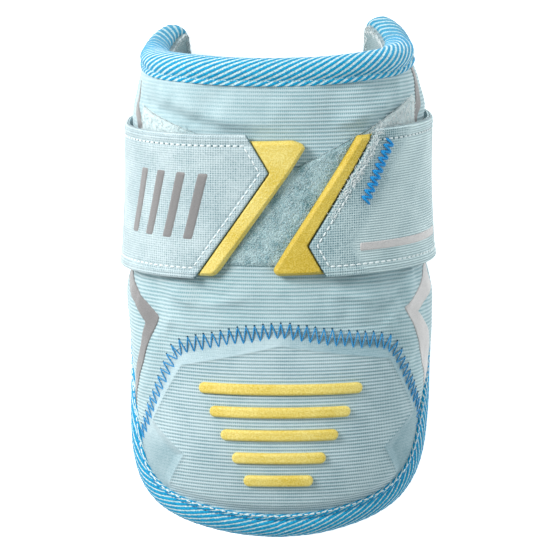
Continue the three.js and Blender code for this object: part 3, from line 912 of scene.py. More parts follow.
def fuzzy_cloth(name, light, deep):
    made = Finish(name, 0.95, 0.15, sheen=0.6)
    cloud, fine = made.grain(6, 4, roughness=0.65), made.grain(0.5, 3)
    # Pale brushed pile where the field is set; on the right corner part of it is painted highlight
    brushed = made.field("brushed") * 0.65
    tint = made.blend(brushed, made.blend(cloud * 0.6 + fine * 0.4, light, deep), (226, 240, 242))
    return made.finish(tint, (fine + cloud) * (1 - brushed * 0.85), 0.3)


def rubber(name, light, deep):
    made = Finish(name, 0.42, 0.45)
    grain = made.step(made.noise(0.5, 2, 0.6), 0.32, 0.68)
    tint = made.blend(grain * 0.55 + made.grain(14) * 0.3, deep, light)
    return made.finish(tint, grain, 0.09, made.step(grain, 0, 1, 0.5, 0.34))


def film(name, tint, deep):
    made = Finish(name, 0.4, 0.5)
    grain = made.grain(0.4)
    shine = made.step(grain, 0, 1, 0.34, 0.48)
    return made.finish(made.blend(grain * 0.5, tint, deep), grain, 0.05, shine)


def thread(name, light, deep, relief=0.05):
    made = Finish(name, 0.55, 0.3)
    strand = made.wave(made.u * 1.6 + made.v, 1.0)
    return made.finish(made.blend(strand, deep, light), strand, relief)


def plain_dark(name, deep, light):
    made = Finish(name, 0.9, 0.1)
    return made.finish(made.blend(made.noise(0.5), deep, light), made.noise(0.4), 0.05)


cover_cloth = ribbed_cloth("cover_cloth", (189, 211, 217), (108, 153, 164), RIB_PITCH)
elbow_cloth = ribbed_cloth("elbow_cloth", (194, 214, 220), (90, 134, 147), ELBOW_RIB_PITCH)
strap_left_cloth = canvas("strap_left_cloth", (200, 217, 222), (84, 126, 139), 0.95, 0.8)
strap_right_cloth = canvas("strap_right_cloth", (214, 234, 237), (84, 126, 138), 0.9, 0.85, 12)
tape_cloth = striped_tape("binding_tape")
lining_cloth = knit_lining("lining_mesh")
loop_cloth = fuzzy_cloth("loop_cloth", (206, 234, 239), (82, 136, 149))
fuzz_thread = thread("fuzz_thread", (252, 255, 255), (236, 246, 248), 0.002)
fibre_cloth = thread("loop_fibres", (224, 238, 241), (176, 206, 213), 0.004)
hook_cloth = fuzzy_cloth("hook_cloth", (170, 192, 197), (120, 145, 152))
yellow_rubber = rubber("yellow_rubber", (250, 235, 150), (214, 184, 48))
# A darker copy of the same rubber for the right tab: painted shade for the side away from the key light
shaded_yellow_rubber = rubber("yellow_rubber_painted_shade", (236, 213, 108), (196, 164, 22))
grey_film_left = film("grey_film_left", (132, 131, 132), (118, 118, 120))
grey_film_right = film("grey_film_right", (206, 203, 203), (176, 175, 177))
white_thread = thread("white_thread", (244, 250, 251), (208, 224, 228))
rim_thread = thread("rim_thread", (190, 222, 230), (110, 176, 196))
blue_thread = thread("blue_thread", (40, 166, 228), (0, 116, 192))
seam_thread = thread("seam_thread", (70, 166, 218), (0, 116, 178))
# Dark materials for the needle holes: painted shade in the holes
hole_shade = plain_dark("needle_hole_shade", (24, 62, 84), (40, 80, 100))
hole_shade_soft = plain_dark("needle_hole_shade_soft", (70, 108, 120), (100, 138, 148))


# Covers and pad


def upper_bottom(angle):
    """Lower edge of the upper cover: the seam over the elbow cover, and the rim beside it."""
    seam = edge_along(SEAM, angle) + COVER_JOINT
    return np.where(abs(angle) <= ELBOW_ANGLE, seam, edge_along(LOWER_RIM, angle))


joint_angles = [side * (ELBOW_ANGLE + past) for side in (-1, 1) for past in (0, 0.02)]

upper_cover = cover_layer(
    "upper_cover",
    np.union1d(np.linspace(-REAR_ANGLE, REAR_ANGLE, 150), joint_angles),
    upper_bottom,
    lambda angle: edge_along(UPPER_RIM, angle),
    lambda angle, y: upper_lift(angle, y) + ribs(angle, y),
    cover_cloth,
    "cover_cloth",
)
elbow_cover = cover_layer(
    "elbow_cover",
    np.linspace(-ELBOW_ANGLE, ELBOW_ANGLE, 190),
    lambda angle: edge_along(LOWER_RIM, angle),
    lambda angle: edge_along(SEAM, angle) - COVER_JOINT,
    lambda angle, y: elbow_lift(angle, y) + ribs(angle, y, ELBOW_RIB_PITCH),
    elbow_cloth,
    "elbow_cloth",
)

pad_angle = np.linspace(-REAR_ANGLE, REAR_ANGLE, 160)[:, None]
pad_y = mix(edge_along(LOWER_RIM, pad_angle), edge_along(UPPER_RIM, pad_angle), np.linspace(0, 1, 110))
lining = bumpiness(pad_angle * DEGREE, pad_y, 26, 11) * LINING_WAVES - LINING_DEPTH
inner_pad = layer("inner_pad", pad_angle, pad_y, -PAD_OUTSIDE, lining, lining_cloth, "lining_mesh")


# Bound rim


def rim_route(step=0.5):
    """The rim as a closed line of angles and places, clockwise from the front, at even steps."""
    angles = np.linspace(-REAR_ANGLE, REAR_ANGLE, 700)
    upper = np.stack([angles, edge_along(UPPER_RIM, angles)], -1)
    lower = np.stack([angles[::-1], edge_along(LOWER_RIM, angles[::-1])], -1)
    route = np.vstack([upper, lower])
    flat = resampled(route * [DEGREE, 1], step, closed=True)
    return flat[:, 0] / DEGREE, flat[:, 1]


def ring_step(values):
    """Step round a ring from the value before each one to the value after it."""
    return np.roll(values, -1) - np.roll(values, 1)


def ring_average(values, reach=7):
    """Values round a ring, each averaged with its neighbours."""
    kernel = np.hanning(2 * reach + 3)[1:-1]
    padded = np.concatenate([values[-reach:], values, values[:reach]])
    return np.convolve(padded, kernel / kernel.sum(), "valid")


rim_angle, rim_y = rim_route()
above, off_front = rim_y > 0, abs(rim_angle)
stations = len(rim_angle)
degree_run = shell_point(rim_angle + 0.5, rim_y) - shell_point(rim_angle - 0.5, rim_y)
degree_width = np.linalg.norm(degree_run, axis=-1)
rim_run = pair(ring_average(ring_step(rim_angle) * degree_width), ring_average(ring_step(rim_y)))
rim_inward = -left_of(unit(rim_run))
rim_rear = smooth(off_front, *TAPE_NARROWS)
outer_leg = mix(TAPE_FRONT_LEG, TAPE_REAR_LEG, np.where(above, smooth(off_front, 52, 118), rim_rear))
inner_leg = mix(TAPE_INNER_LEG, TAPE_INNER_REAR_LEG, rim_rear)
rim_places = shell_point(rim_angle, rim_y)
rim_steps = np.linalg.norm(np.roll(rim_places, -1, axis=0) - rim_places, axis=1)

# Section of the folded tape: share of the outer leg, share of the inner leg, inset besides, lift
TAPE_SECTION = [
    (1, 0, 0.0, -0.25), (1, 0, 0.05, 0.45), (1, 0, -0.25, 0.85), (1, 0, -1.2, 0.95), (1, 0, -1.8, 0.62),
    (1, 0, -2.5, 1.1), (0.55, 0, 0.0, 1.85), (0.3, 0, 0.0, 1.95), (0.1, 0, 0.0, 1.3),
    (0, 0, -1.1, -0.6), (0, 0, -1.85, -3.0), (0, 0, -1.85, -5.6), (0, 0, -1.2, -8.0), (0, 0.2, 0, -9.5),
    (0, 0.6, 0, -9.9), (0, 1, -0.3, -9.6), (0, 1, 0.05, -9.2), (0, 1, 0, -8.4),
]
# The same towards the rear, where the tape stops short and the lining's soft edge shows
TAPE_REAR_SECTION = [
    (1, 0, 0.0, -0.25), (1, 0, 0.05, 0.45), (1, 0, -0.25, 0.8), (1, 0, -0.8, 0.9), (1, 0, -1.2, 0.7),
    (1, 0, -1.6, 1.0), (0.45, 0, 0.0, 1.4), (0.25, 0, 0.0, 1.3), (0.05, 0, 0.0, 0.8),
    (0, 0, -1.2, -0.4), (0, 0, -1.8, -2.2), (0, 0, -1.8, -4.4), (0, 0, -1.4, -6.2), (0, 0, -0.6, -7.1),
    (0, 0, 0.1, -7.3), (0, 0, 0.3, -7.0), (0, 0, 0.2, -6.6), (0, 0, 0, -6.2),
]
section_count = 52
section_at = np.linspace(0, len(TAPE_SECTION) - 1, section_count)
tape_rear = smooth(off_front, 78, 104)[:, None]


def tape_section(column):
    """One column of the tape's section at every station, from its front shape to its rear one."""
    front, rear = (
        curve([(i, *row) for i, row in enumerate(rows)], section_at, column)
        for rows in (TAPE_SECTION, TAPE_REAR_SECTION)
    )
    return mix(front[None], rear[None], tape_rear)


inset = outer_leg[:, None] * tape_section(1) + inner_leg[:, None] * tape_section(2) + tape_section(3)
inset = np.hstack([inset, np.full((stations, 2), TAPE_INSIDE)])
inside_wall = np.hstack([mix(-8.4, -6.2, tape_rear), np.full((stations, 1), -0.25)])
tape_lift = np.hstack([tape_section(4), inside_wall])
tape_angle = rim_angle[:, None] + rim_inward[:, :1] * inset / degree_width[:, None]
tape_y = rim_y[:, None] + rim_inward[:, 1:] * inset

# Stripes: they slant less at the rear, and are drawn wider round the upper bends and on the lower rim
lower = smooth(-rim_y, 0, 60)
widened = mix(1, STRIPE_DRAWN_LOWER, lower)
slant = mix(STRIPE_SLANT_UPPER, STRIPE_SLANT_LOWER, 1 - smooth(rim_y, -50, 50))
slant = slant * mix(1, STRIPE_SLANT_REAR, smooth(off_front, 66, 100)) * widened
bend = above * smooth(off_front, 70, 84) * (1 - smooth(off_front, 106, 120))
drawn = running(rim_steps * mix(1, STRIPE_DRAWN_BEND, bend) * widened)
around = drawn[:-1] / drawn[-1] * round(drawn[-1] / STRIPE_PITCH)
section_steps = np.hypot(np.diff(inset, axis=1), np.diff(tape_lift, axis=1))
section_reach = np.hstack([np.zeros((stations, 1)), np.cumsum(section_steps, 1)])
section_from_roll = section_reach[:, [np.argmax(tape_lift[0] < -1.5)]] - section_reach
stripe_phase = around[:, None] + section_from_roll * slant[:, None] / STRIPE_PITCH
twill = TWILL_HEIGHT * np.cos(2 * np.pi * stripe_phase)
twill[:, :4] *= np.linspace(0, 1, 4)
twill[:, section_count:] = 0
points = lifted(tape_angle, tape_y, tape_lift + twill, floor=0)
ids = np.arange(tape_lift.size).reshape(tape_lift.shape)
ids = np.vstack([np.hstack([ids, ids[:, :1]]), np.hstack([ids[0], ids[0, :1]])])
# The second field marks the rear hooks, where the tape gets painted shade
fields = {"lower": np.maximum(lower, 1.7 * bend), "hooked": above * smooth(off_front, 84, 104)}
fields = {key: np.broadcast_to(field[:, None], tape_lift.shape) for key, field in fields.items()}
made = points, grid_faces(ids), pair(stripe_phase, section_reach)
edge_binding = piece("edge_binding", *made, tape_cloth, "binding_tape", True, fields)


# Loose hairs

HAIR_STEPS = np.linspace(0, 1, 4)


def curls(count, curl, shortest, longest):
    """Random curled runs of hairs on the flat cloth, as the places of their points from the root."""
    turn = random.uniform(0, 2 * np.pi, (count, 1)) + random.uniform(-curl, curl, (count, 1)) * HAIR_STEPS
    stride = random.uniform(shortest, longest, (count, 1))
    return np.cumsum(np.cos(turn) * stride, 1), np.cumsum(np.sin(turn) * stride, 1)


def hairs(name, x, y, runs, base, rises, radius, material, slot, sides=3):
    """Hairs from their roots along their runs. Their middles rise away from the shell, from a base lift
    that is above or below it."""
    angle, y = (x[:, None] + runs[0]) / DEGREE, y[:, None] + runs[1]
    lift = base + random.uniform(*rises, (len(y), 1)) * np.sin(np.pi * HAIR_STEPS) * np.sign(base)
    made = tubes(lifted(angle, y, lift), radius, shell_normal(angle, y), sides=sides)
    return piece(name, *made, material, slot)


# Fuzzy edge of the lining beside the tape's rear hooks, on the lining's inner side

hooks = np.flatnonzero(above & (off_front > 92) & (off_front < REAR_ANGLE - 1))
station = hooks[random.integers(0, len(hooks), LINING_HAIRS)]
runs = curls(LINING_HAIRS, 2.2, 0.25, 0.6)
roots = rim_inward[station] * random.uniform(0.1, 1.5, (LINING_HAIRS, 1))
roots = pair(rim_angle * DEGREE, rim_y)[station] + roots
hairs("lining_fuzz", *roots.T, runs, -LINING_DEPTH - 0.05, (0.05, 0.4), 0.09, fuzz_thread, "lining_mesh")


# Loop panel and its pile

loop_angle = np.union1d(np.linspace(-LOOP_SIDE, LOOP_SIDE, 180), [a for a, _ in LOOP_TOP])[:, None]
loop_share = np.linspace(0, 1, 70)
loop_x, loop_y = loop_angle * DEGREE, mix(LOOP_BOTTOM, loop_top(loop_angle), loop_share)
loop_grain = bumpiness(loop_x, loop_y, 7, 21) * 0.12 + bumpiness(loop_x, loop_y, 2.2, 22) * 0.07
loop_edge = np.minimum(loop_y - LOOP_BOTTOM, (loop_y.max(1, keepdims=True) - loop_y))
loop_lift = 0.35 + 0.85 * smooth(loop_edge, -0.4, 1.0) + loop_grain
# Pale brushed pile at the panel's upper corners, half as strong again on the right corner as painted
# highlight where the key light does not reach
brushed = smooth(abs(loop_angle), 34, 50) * (loop_share > 0.5) * np.where(loop_angle > 0, 1.5, 1)
loop_panel = layer(
    "loop_panel", loop_angle, loop_y, loop_lift, -0.1, loop_cloth, "loop_cloth", brushed=brushed
)

reach, corners = LOOP_SIDE - 1, FIBRES // 5
angle = random.uniform(-reach, reach, FIBRES)
angle[:corners] = np.sign(angle[:corners]) * random.uniform(32, reach, corners)
y = mix(LOOP_BOTTOM + 0.4, loop_top(angle) - 0.3, random.uniform(0, 1, FIBRES))
runs = curls(FIBRES, 2.2, 0.8 / 3, 2.3 / 3)
loop_fibres = hairs(
    "loop_fibres", angle * DEGREE, y, runs, 1.15, (0.15, 0.55), 0.07, fibre_cloth, "loop_cloth"
)

angle = random.uniform(36, reach, WISPS)
angle[: WISPS // 12] *= -1
y = loop_top(angle) - 0.6 - 11 * random.uniform(0, 1, WISPS) ** 1.3
runs = curls(WISPS, 2.6, 0.3, 0.8)
loop_wisps = hairs(
    "loop_wisps", angle * DEGREE, y, runs, 1.3, (0.05, 0.4), 0.09, fuzz_thread, "loop_cloth"
)


# Strap


def spread(length, fine=0.3, reach=5.0, coarse=1.2):
    """Places from 0 to a length, close together near both ends."""
    near = np.arange(0, reach, fine)
    middle = np.linspace(reach, length - reach, max(2, round((length - 2 * reach) / coarse)))
    return np.concatenate([near, middle, length - near[::-1]])


def rolled(off_edge, reach):
    """How far a rolled edge falls, from 1 at the edge itself to 0."""
    return 1 - np.sqrt(np.clip(off_edge / reach, 0, 1))


def strap_hem(off_edge):
    """Relief of a strap's long edge: a rolled side, two ridges, and the stitched groove."""
    wave = 0.5 - 0.5 * np.cos(2 * np.pi * off_edge / HEM_RIDGE)
    ridge = HEM_HEIGHT * wave * (off_edge < 2 * HEM_RIDGE)
    groove = GROOVE_DEPTH * bell(off_edge - HEM_STITCH, 0.55)
    return ridge - groove - HEM_ROLL * rolled(off_edge, 0.9)


def flat_on_strap(angle, share):
    """Flat places at shares of the strap's width."""
    return pair(angle * DEGREE, on_strap(angle, share))


def point_line(table):
    """The pointed edge as flat places."""
    share, angle = np.array(table).T
    return flat_on_strap(angle, share)


def point_distance(table, angle, y):
    """Distance from the pointed edge, over the strap."""
    line = point_line(table)
    x = angle * DEGREE
    nearest = np.full(np.broadcast(x, y).shape, np.inf)
    last = len(line) - 2
    for i, (a, b) in enumerate(zip(line[:-1], line[1:])):
        off = line_distance(x, y, a, b, -0.3 if i == 0 else 0, 1.3 if i == last else 1)
        nearest = np.minimum(nearest, off)
    return nearest


def strap_end_lift(side, table, angle, y):
    """Lift of a strap end's outer face."""
    off_side, off_point = -beside_strap(angle, y), point_distance(table, angle, y)
    groove = GROOVE_DEPTH * bell(off_point - POINT_STITCH, 0.6) * smooth(off_side, 2.2, 3.2)
    waves = bumpiness(angle * DEGREE, y, 24, 31 + side) * STRAP_WAVES * smooth(off_point, 0, 8)
    point_roll = POINT_ROLL * rolled(off_point, 0.7)
    return STRAP_BASE + STRAP_THICKNESS + strap_hem(off_side) - point_roll - groove + waves


def left_strap_lift(angle, y):
    return strap_end_lift(-1, LEFT_END, angle, y)


def right_strap_lift(angle, y):
    return strap_end_lift(1, RIGHT_END, angle, y)


STRAP_FLOORS = (0, STRAP_THICKNESS)
strap_across = spread(STRAP_WIDTH) / STRAP_WIDTH - 0.5


def strap_end(name, side, table, material):
    length = (REAR_ANGLE - abs(np.mean([row[1] for row in table]))) * DEGREE
    share = 1 - spread(length)[::-1] / length
    share = (share - share.min()) / (share.max() - share.min())
    angle = mix(side * REAR_ANGLE, straight(table, strap_across), share[:, None])
    y = on_strap(angle, strap_across)
    outer = strap_end_lift(side, table, angle, y)
    inner = np.minimum(STRAP_BASE, outer - 0.5)
    given = material, "strap_cloth", STRAP_FLOORS, strap_middle(angle)
    return layer(name, angle, y, outer, inner, *given, off_point=point_distance(table, angle, y))


strap_left_end = strap_end("strap_left_end", -1, LEFT_END, strap_left_cloth)
strap_right_end = strap_end("strap_right_end", 1, RIGHT_END, strap_right_cloth)

angle = np.linspace(REAR_ANGLE - BACK_OVERLAP, 360 - REAR_ANGLE + BACK_OVERLAP, 80)[:, None]
outer = STRAP_BASE + STRAP_THICKNESS + strap_hem((0.5 - abs(strap_across)) * STRAP_WIDTH) + 0.15
given = strap_right_cloth, "strap_cloth", STRAP_FLOORS, STRAP_MIDDLE
y = on_strap(angle, strap_across)
strap_back = layer("strap_back", angle, y, outer, STRAP_BASE, *given, off_point=50.0)


def hook_pad(name, side, table):
    across = np.linspace(-HOOK_SHARE / 2, HOOK_SHARE / 2, 60)
    edge = straight(table, across)
    angle = mix(edge + side * HOOK_REACH, edge + side * HOOK_START, np.linspace(0, 1, 40)[:, None])
    y = on_strap(angle, across)
    outer = HOOK_BASE + HOOK_THICKNESS + bumpiness(angle * DEGREE, y, 1.6, 41) * 0.05
    return layer(name, angle, y, outer, HOOK_BASE - 0.2, hook_cloth, "hook_cloth")


hook_pads = [hook_pad("hook_pad_left", -1, LEFT_END), hook_pad("hook_pad_right", 1, RIGHT_END)]


# Pull tabs and bars


def pull_tab(name, side, table, end_table, material):
    """Moulded tab that comes out from under the strap's pointed edge."""
    share, free = np.array(table).T
    tucked_share = np.unique(np.clip([*share, *(row[0] for row in end_table)], share[0], share[-1]))
    tucked = straight(end_table, tucked_share) + side * TAB_TUCK
    outline = np.vstack([flat_on_strap(free, share), flat_on_strap(tucked, tucked_share)[::-1]])

    def top(angle, y, inset):
        off = point_distance(end_table, angle, y)
        under = (angle - straight(end_table, strap_share(angle, y))) * side > 0
        height = mix(HOOK_THICKNESS, TAB_HEIGHT, smooth(np.where(under, -off, off), 0.15, 0.7))
        return HOOK_BASE + height * np.minimum(1, 0.35 + 0.65 * inset / TAB_BEVEL)

    def bottom(angle, y, inset):
        return HOOK_BASE - 0.4

    given = dict(material=material, slot="yellow_rubber", cad=True)
    return slab(name, outline, top, bottom, 0.4, corner=1.4, crease=TAB_BEVEL, **given)


pull_tab("pull_tab_left", -1, LEFT_TAB, LEFT_END, yellow_rubber)
# The right tab takes the darker copy of the rubber, which is painted shade
pull_tab("pull_tab_right", 1, RIGHT_TAB, RIGHT_END, shaded_yellow_rubber)

for index in range(BAR_COUNT):
    middle = BAR_FIRST - index * BAR_PITCH
    half = (BAR_LONGEST - index * BAR_STEP) / 2
    reach = np.degrees(np.arcsin(half / MEAN_RADIUS)) * DEGREE - BAR_HEIGHT / 2
    turn = np.linspace(-np.pi / 2, np.pi / 2, 12)
    cap = pair(reach + np.cos(turn) * BAR_HEIGHT / 2, middle + np.sin(turn) * BAR_HEIGHT / 2)
    slab(
        f"raised_bar_{index + 1}",
        np.vstack([cap, cap * [-1, -1] + [0, 2 * middle]]),
        lambda angle, y, inset: elbow_lift(angle, y) + 0.5 + 0.9 * smooth(inset, -0.5, 0.8),
        lambda angle, y, inset: elbow_lift(angle, y) - 0.4,
        0.38,
        corner=0.2,
        material=yellow_rubber,
        slot="yellow_rubber",
        cad=True,
    )


# Grey film on the sides and on the strap

LEFT_STRIPE = [
    (-86, -44), (-78.3, -38.2), (-73, -31.6), (-64.8, -20.6), (-61.4, -11.8), (-68.9, -5.6),
    (-77.3, -2.5), (-90, 2), (-90, 7.5), (-78.4, 2.8), (-71.2, 0.2), (-61.6, -4.7), (-54.4, -9.2),
    (-58.7, -18), (-63.5, -26.5), (-72.5, -38), (-78, -45),
]
RIGHT_STRIPE = [
    (94, -36), (86.6, -33.7), (73.9, -16.4), (64.4, -8.3), (83.4, -1.5), (85.8, 9.5), (82, 7.5),
    (70.2, 0.3), (56.3, -6.2), (62.2, -16.6), (70.5, -26.8), (79.3, -36.6), (88, -42),
]
LEFT_UPPER_STRIPE = [(-81, 73), (-77, 62), (-73.5, 53), (-66, 53), (-71, 61.5), (-77, 67.5)]
RIGHT_UPPER_STRIPE = [(78, 82), (77, 70), (71, 55), (63, 55), (71.5, 67), (73.5, 76), (74.5, 82)]


STRAP_LINE = [(33, 16.4), (60, 16.8), (80, 17.6), (80, 20.4), (60, 19.6), (33, 19.2)]
MARK_COUNT = 4
MARK_FIRST = -68
MARK_PITCH = 9.5
MARK_WIDTH = 4.6
MARK_LEAN = 7
MARK_LOW, MARK_HIGH = 20, 44


def film_patch(name, outline, material, under, proud, spacing=0.5, corner=0.5):
    """Film on cloth: under gives the cloth's lift, and proud the film's height over it."""
    return slab(
        name,
        np.array(outline) * [DEGREE, 1],
        lambda angle, y, inset: under(angle, y) + proud(angle, y, inset),
        lambda angle, y, inset: under(angle, y) - 0.5,
        spacing,
        corner=corner,
        material=material,
        slot="grey_film",
    )


def over_ribs(angle, y, inset):
    """Height of a thin film, which softens the ribs under it."""
    return 0.35 * ribs(angle, y) + 0.16


def crowned(angle, y, inset):
    return 0.28 * smooth(inset, -0.1, 0.9) - 0.1


for name, outline, material in (
    ("side_stripe_left", LEFT_STRIPE, grey_film_left),
    ("side_stripe_right", RIGHT_STRIPE, grey_film_right),
    ("upper_stripe_left", LEFT_UPPER_STRIPE, grey_film_left),
    ("upper_stripe_right", RIGHT_UPPER_STRIPE, grey_film_left),
):
    film_patch(name, outline, material, cover_lift, over_ribs, 0.6)

strap_marks = []
for index in range(MARK_COUNT):
    corner = [MARK_FIRST + index * MARK_PITCH, MARK_LOW]
    edges = [corner, [corner[0] + MARK_WIDTH, MARK_LOW]]
    outline = edges + [[start + MARK_LEAN, MARK_HIGH] for start, _ in edges[::-1]]
    name = f"strap_mark_{index + 1}"
    strap_marks.append(film_patch(name, outline, grey_film_left, left_strap_lift, crowned, corner=0.9))
strap_line = film_patch(
    "strap_line", STRAP_LINE, grey_film_right, right_strap_lift, lambda angle, y, inset: 0.2
)


# Stitching


def zigzag(line, reach, pitch, radius, lift, arch):
    """Zigzag stitch over a flat line, and the places of its upper needle holes."""
    line = resampled(line, pitch / 2)
    normal = left_of(unit(np.gradient(line, axis=0)))
    sign = np.where(np.arange(len(line)) % 2, 1, -1)[:, None]
    uneven = 1 + random.uniform(-0.08, 0.08, (len(line), 1))
    ends = line + normal * sign * reach * uneven
    shares = np.linspace(0, 1, 8)
    flat = mix(ends[:-1, None], ends[1:, None], shares[None, :, None])
    angle, y = flat[..., 0] / DEGREE, flat[..., 1]
    rise = radius * 0.6 + arch * np.sin(np.pi * shares) - 0.25 * (2 * shares - 1) ** 6
    over = lift(angle, y)
    level = mix(over.min(1, keepdims=True), over.max(1, keepdims=True), 0.55)
    lines = lifted(angle, y, np.maximum(over, level) + rise)
    return tubes(lines, radius, shell_normal(angle, y)), ends[sign[:, 0] > 0]


angle = np.linspace(-ELBOW_ANGLE, ELBOW_ANGLE, 400)
first, last = edge_along(LOWER_RIM, angle[[0, -1]]) + TAPE_FRONT_LEG
seam_line = pair(np.pad(angle, 1, "edge") * DEGREE, [first, *edge_along(SEAM, angle), last])
made, holes = zigzag(seam_line, SEAM_REACH, SEAM_PITCH, 0.25, cover_lift, 0.06)
piece("seam_zigzag", *made, seam_thread, "stitch_thread")

# Dark flattened dots at the zigzag's upper needle holes: painted shade in the holes
y = holes[:, 1:] + np.linspace(-0.32, 0.32, 4)
angle = np.repeat(holes[:, :1] / DEGREE, 4, 1)
made = tubes(lifted(angle, y, cover_lift(angle, y) + 0.02), 0.36, shell_normal(angle, y), flat=0.35)
piece("seam_holes", *made, hole_shade, "stitch_thread")

BARTACK = np.array([(46.1, 54.5), (34.8, 33.5)]) * [DEGREE, 1]
made, _ = zigzag(BARTACK, 2.2, 2.5, 0.5, right_strap_lift, 0.35)
bartack = piece("strap_bartack", *made, blue_thread, "stitch_thread")


def strap_stitching(name, side, table, lift):
    """White running stitch along a strap end's two hems and its pointed edge, and dark dashes between the
    hems' stitches: painted shade of the needle holes.
    """
    parts, gaps = [], []
    share_in = 0.5 - HEM_STITCH / STRAP_WIDTH
    inset_degrees = POINT_STITCH / DEGREE * 1.12
    for share in (-share_in, share_in):
        edge = straight(table, share) + side * inset_degrees * 0.8
        line = flat_on_strap(np.linspace(side * (REAR_ANGLE - 4), edge, 200), share)
        parts.append(dashes(line, lift, radius=0.34, dip=0.25))
        gaps.append(dashes(line, lift, length=0.5, radius=0.26, dip=0, offset=DASH_PITCH / 2))
    shares = np.clip([row[0] for row in table], -share_in, share_in)
    line = flat_on_strap(straight(table, shares) + side * inset_degrees, shares)
    parts.append(dashes(line, lift, radius=0.33, dip=0.25))
    needle = piece(name + "_holes", *joined(gaps), hole_shade_soft, "stitch_thread")
    return piece(name, *joined(parts), white_thread, "stitch_thread"), needle


left_stitching = strap_stitching("strap_left_stitching", -1, LEFT_END, left_strap_lift)
right_stitching = strap_stitching("strap_right_stitching", 1, RIGHT_END, right_strap_lift)

fuzz_line = resampled(point_line(RIGHT_END)[1:], 0.2)
fuzz_pick = (len(fuzz_line) * random.uniform(0.1, 1, STRAP_HAIRS) ** 0.6).astype(int) - 1
roots = fuzz_line[fuzz_pick] + random.normal(0, 0.6, (STRAP_HAIRS, 2)) + [1.8, 0]
runs = curls(STRAP_HAIRS, 2.5, 0.25, 0.7)
made = STRAP_BASE + STRAP_THICKNESS + 0.1, (0.1, 0.5), 0.07, fuzz_thread, "strap_cloth"
strap_fuzz = hairs("strap_right_fuzz", *roots.T, runs, *made, sides=4)


def rim_dashes(name, chosen, inset_from_leg, lift, material, **given):
    """Running stitch round a run of the bound rim."""
    order = np.flatnonzero(chosen)
    gap = np.flatnonzero(np.diff(order) > 1)
    if len(gap):
        order = np.roll(order, -gap[0] - 1)
    inset = outer_leg[order] - inset_from_leg
    x = (rim_angle[order] + rim_inward[order, 0] * inset / degree_width[order]) * DEGREE
    y = rim_y[order] + rim_inward[order, 1] * inset
    made = dashes(pair(x, y), lambda angle, y: lift, **given)
    return piece(name, *made, material, "stitch_thread")


rim_dashes("rim_stitching_upper", above, 1.8, 0.6, rim_thread, length=1.6, radius=0.2)
rim_dashes("rim_stitching_lower", ~above, 1.6, 0.72, seam_thread, length=1.8, radius=0.24)
rim_dashes("rim_edging_lower", ~above, 0.25, 0.75, white_thread, length=2.0, radius=0.26)


# Sizes of the cloth pieces, worked out here and not used further


def arc_length(start, end, y=STRAP_MIDDLE, lift=STRAP_BASE):
    angle = np.linspace(start, end, 200)
    line = lifted(angle, np.full(angle.shape, y), lift, floor=0)
    return float(np.linalg.norm(np.diff(line, axis=0), axis=1).sum()) * MM


def end_area(side, table):
    """Flat area of a pointed strap end, and its length to the point."""
    shares = np.linspace(-0.5, 0.5, 41)
    lengths = [arc_length(side * REAR_ANGLE, edge) for edge in straight(table, shares)]
    return float(np.mean(lengths)) * STRAP_WIDTH * MM, max(lengths)


for strap, side, table, extras in (
    (strap_left_end, -1, LEFT_END, [*left_stitching, *strap_marks]),
    (strap_right_end, 1, RIGHT_END, [*right_stitching, bartack, strap_line, strap_fuzz]),
):
    area, length = end_area(side, table)
    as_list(extras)
arc_length(REAR_ANGLE - BACK_OVERLAP, 360 - REAR_ANGLE + BACK_OVERLAP)
loop_width = arc_length(-LOOP_SIDE, LOOP_SIDE, LOOP_BOTTOM, 0.3)
loop_heights = loop_top(np.linspace(-LOOP_SIDE, LOOP_SIDE, 60)) - LOOP_BOTTOM


# Floor, light and camera

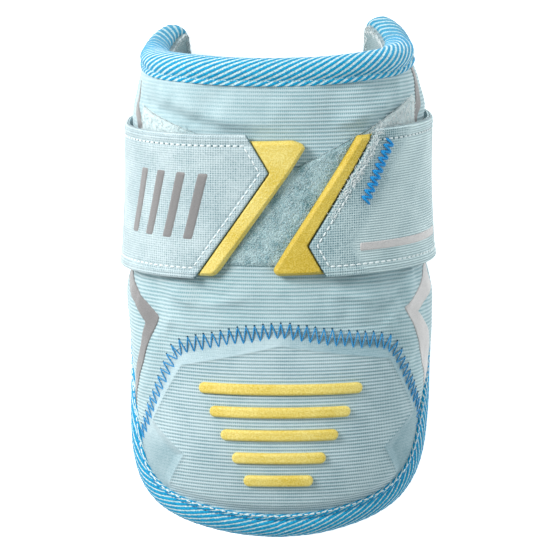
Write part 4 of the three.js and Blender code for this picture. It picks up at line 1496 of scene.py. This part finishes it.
floor_finish = Finish("studio_floor", 0.9, 0.1)
floor_finish.shader.inputs["Emission Color"].default_value = (1, 1, 1, 1)
floor_finish.shader.inputs["Emission Strength"].default_value = 0.7
floor_tint = floor_finish.blend(floor_finish.noise(400), (0.9, 0.9, 0.9, 1), (0.93, 0.93, 0.93, 1))
bpy.ops.mesh.primitive_plane_add(size=6, location=(0, 0, -0.0004))
floor = bpy.context.object
floor.name = "studio_floor"
floor.data.materials.append(floor_finish.finish(floor_tint))

world = bpy.data.worlds.new("studio")
bpy.context.scene.world = world
world.use_nodes = True
world.node_tree.nodes["Background"].inputs[0].default_value = (0.9, 1, 1, 1)
world.node_tree.nodes["Background"].inputs[1].default_value = 0.42
bpy.context.scene.view_settings.view_transform = "Standard"


LIGHT_AIM = Vector((0, 0, 0.05))


def area_light(name, place, size, power, tint):
    data = bpy.data.lights.new(name, "AREA")
    data.shape = "DISK"
    data.size = size
    data.energy = power
    data.color = tint
    light = bpy.data.objects.new(name, data)
    bpy.context.collection.objects.link(light)
    light.location = place
    light.rotation_mode = "QUATERNION"
    light.rotation_quaternion = (LIGHT_AIM - Vector(place)).to_track_quat("-Z", "Y")


area_light("key", (-0.95, 0.75, 0.95), 0.6, 23, (1, 0.955, 0.93))
area_light("fill", (1.1, 0.2, 0.7), 1.0, 4, (1, 1, 1))

CAMERA_TILT = np.radians(8.5)
CAMERA_DISTANCE = 1.5
CAMERA_AIM = Vector((-0.00126, -0.0004, 0.045))
MM_PER_PIXEL = 0.36
IMAGE_SIZE = 550
SENSOR = 36
camera_data = bpy.data.cameras.new("camera")
camera_data.sensor_width = SENSOR
camera_data.lens = SENSOR * CAMERA_DISTANCE / (IMAGE_SIZE * MM_PER_PIXEL * MM)
camera = bpy.data.objects.new("camera", camera_data)
bpy.context.collection.objects.link(camera)
back = Vector((0, float(np.sin(CAMERA_TILT)), float(np.cos(CAMERA_TILT))))
camera.location = CAMERA_AIM + back * CAMERA_DISTANCE
camera.rotation_mode = "QUATERNION"
right = Vector((1, 0, 0))
camera.rotation_quaternion = Matrix((right, back.cross(right), back)).transposed().to_quaternion()
bpy.context.scene.camera = camera
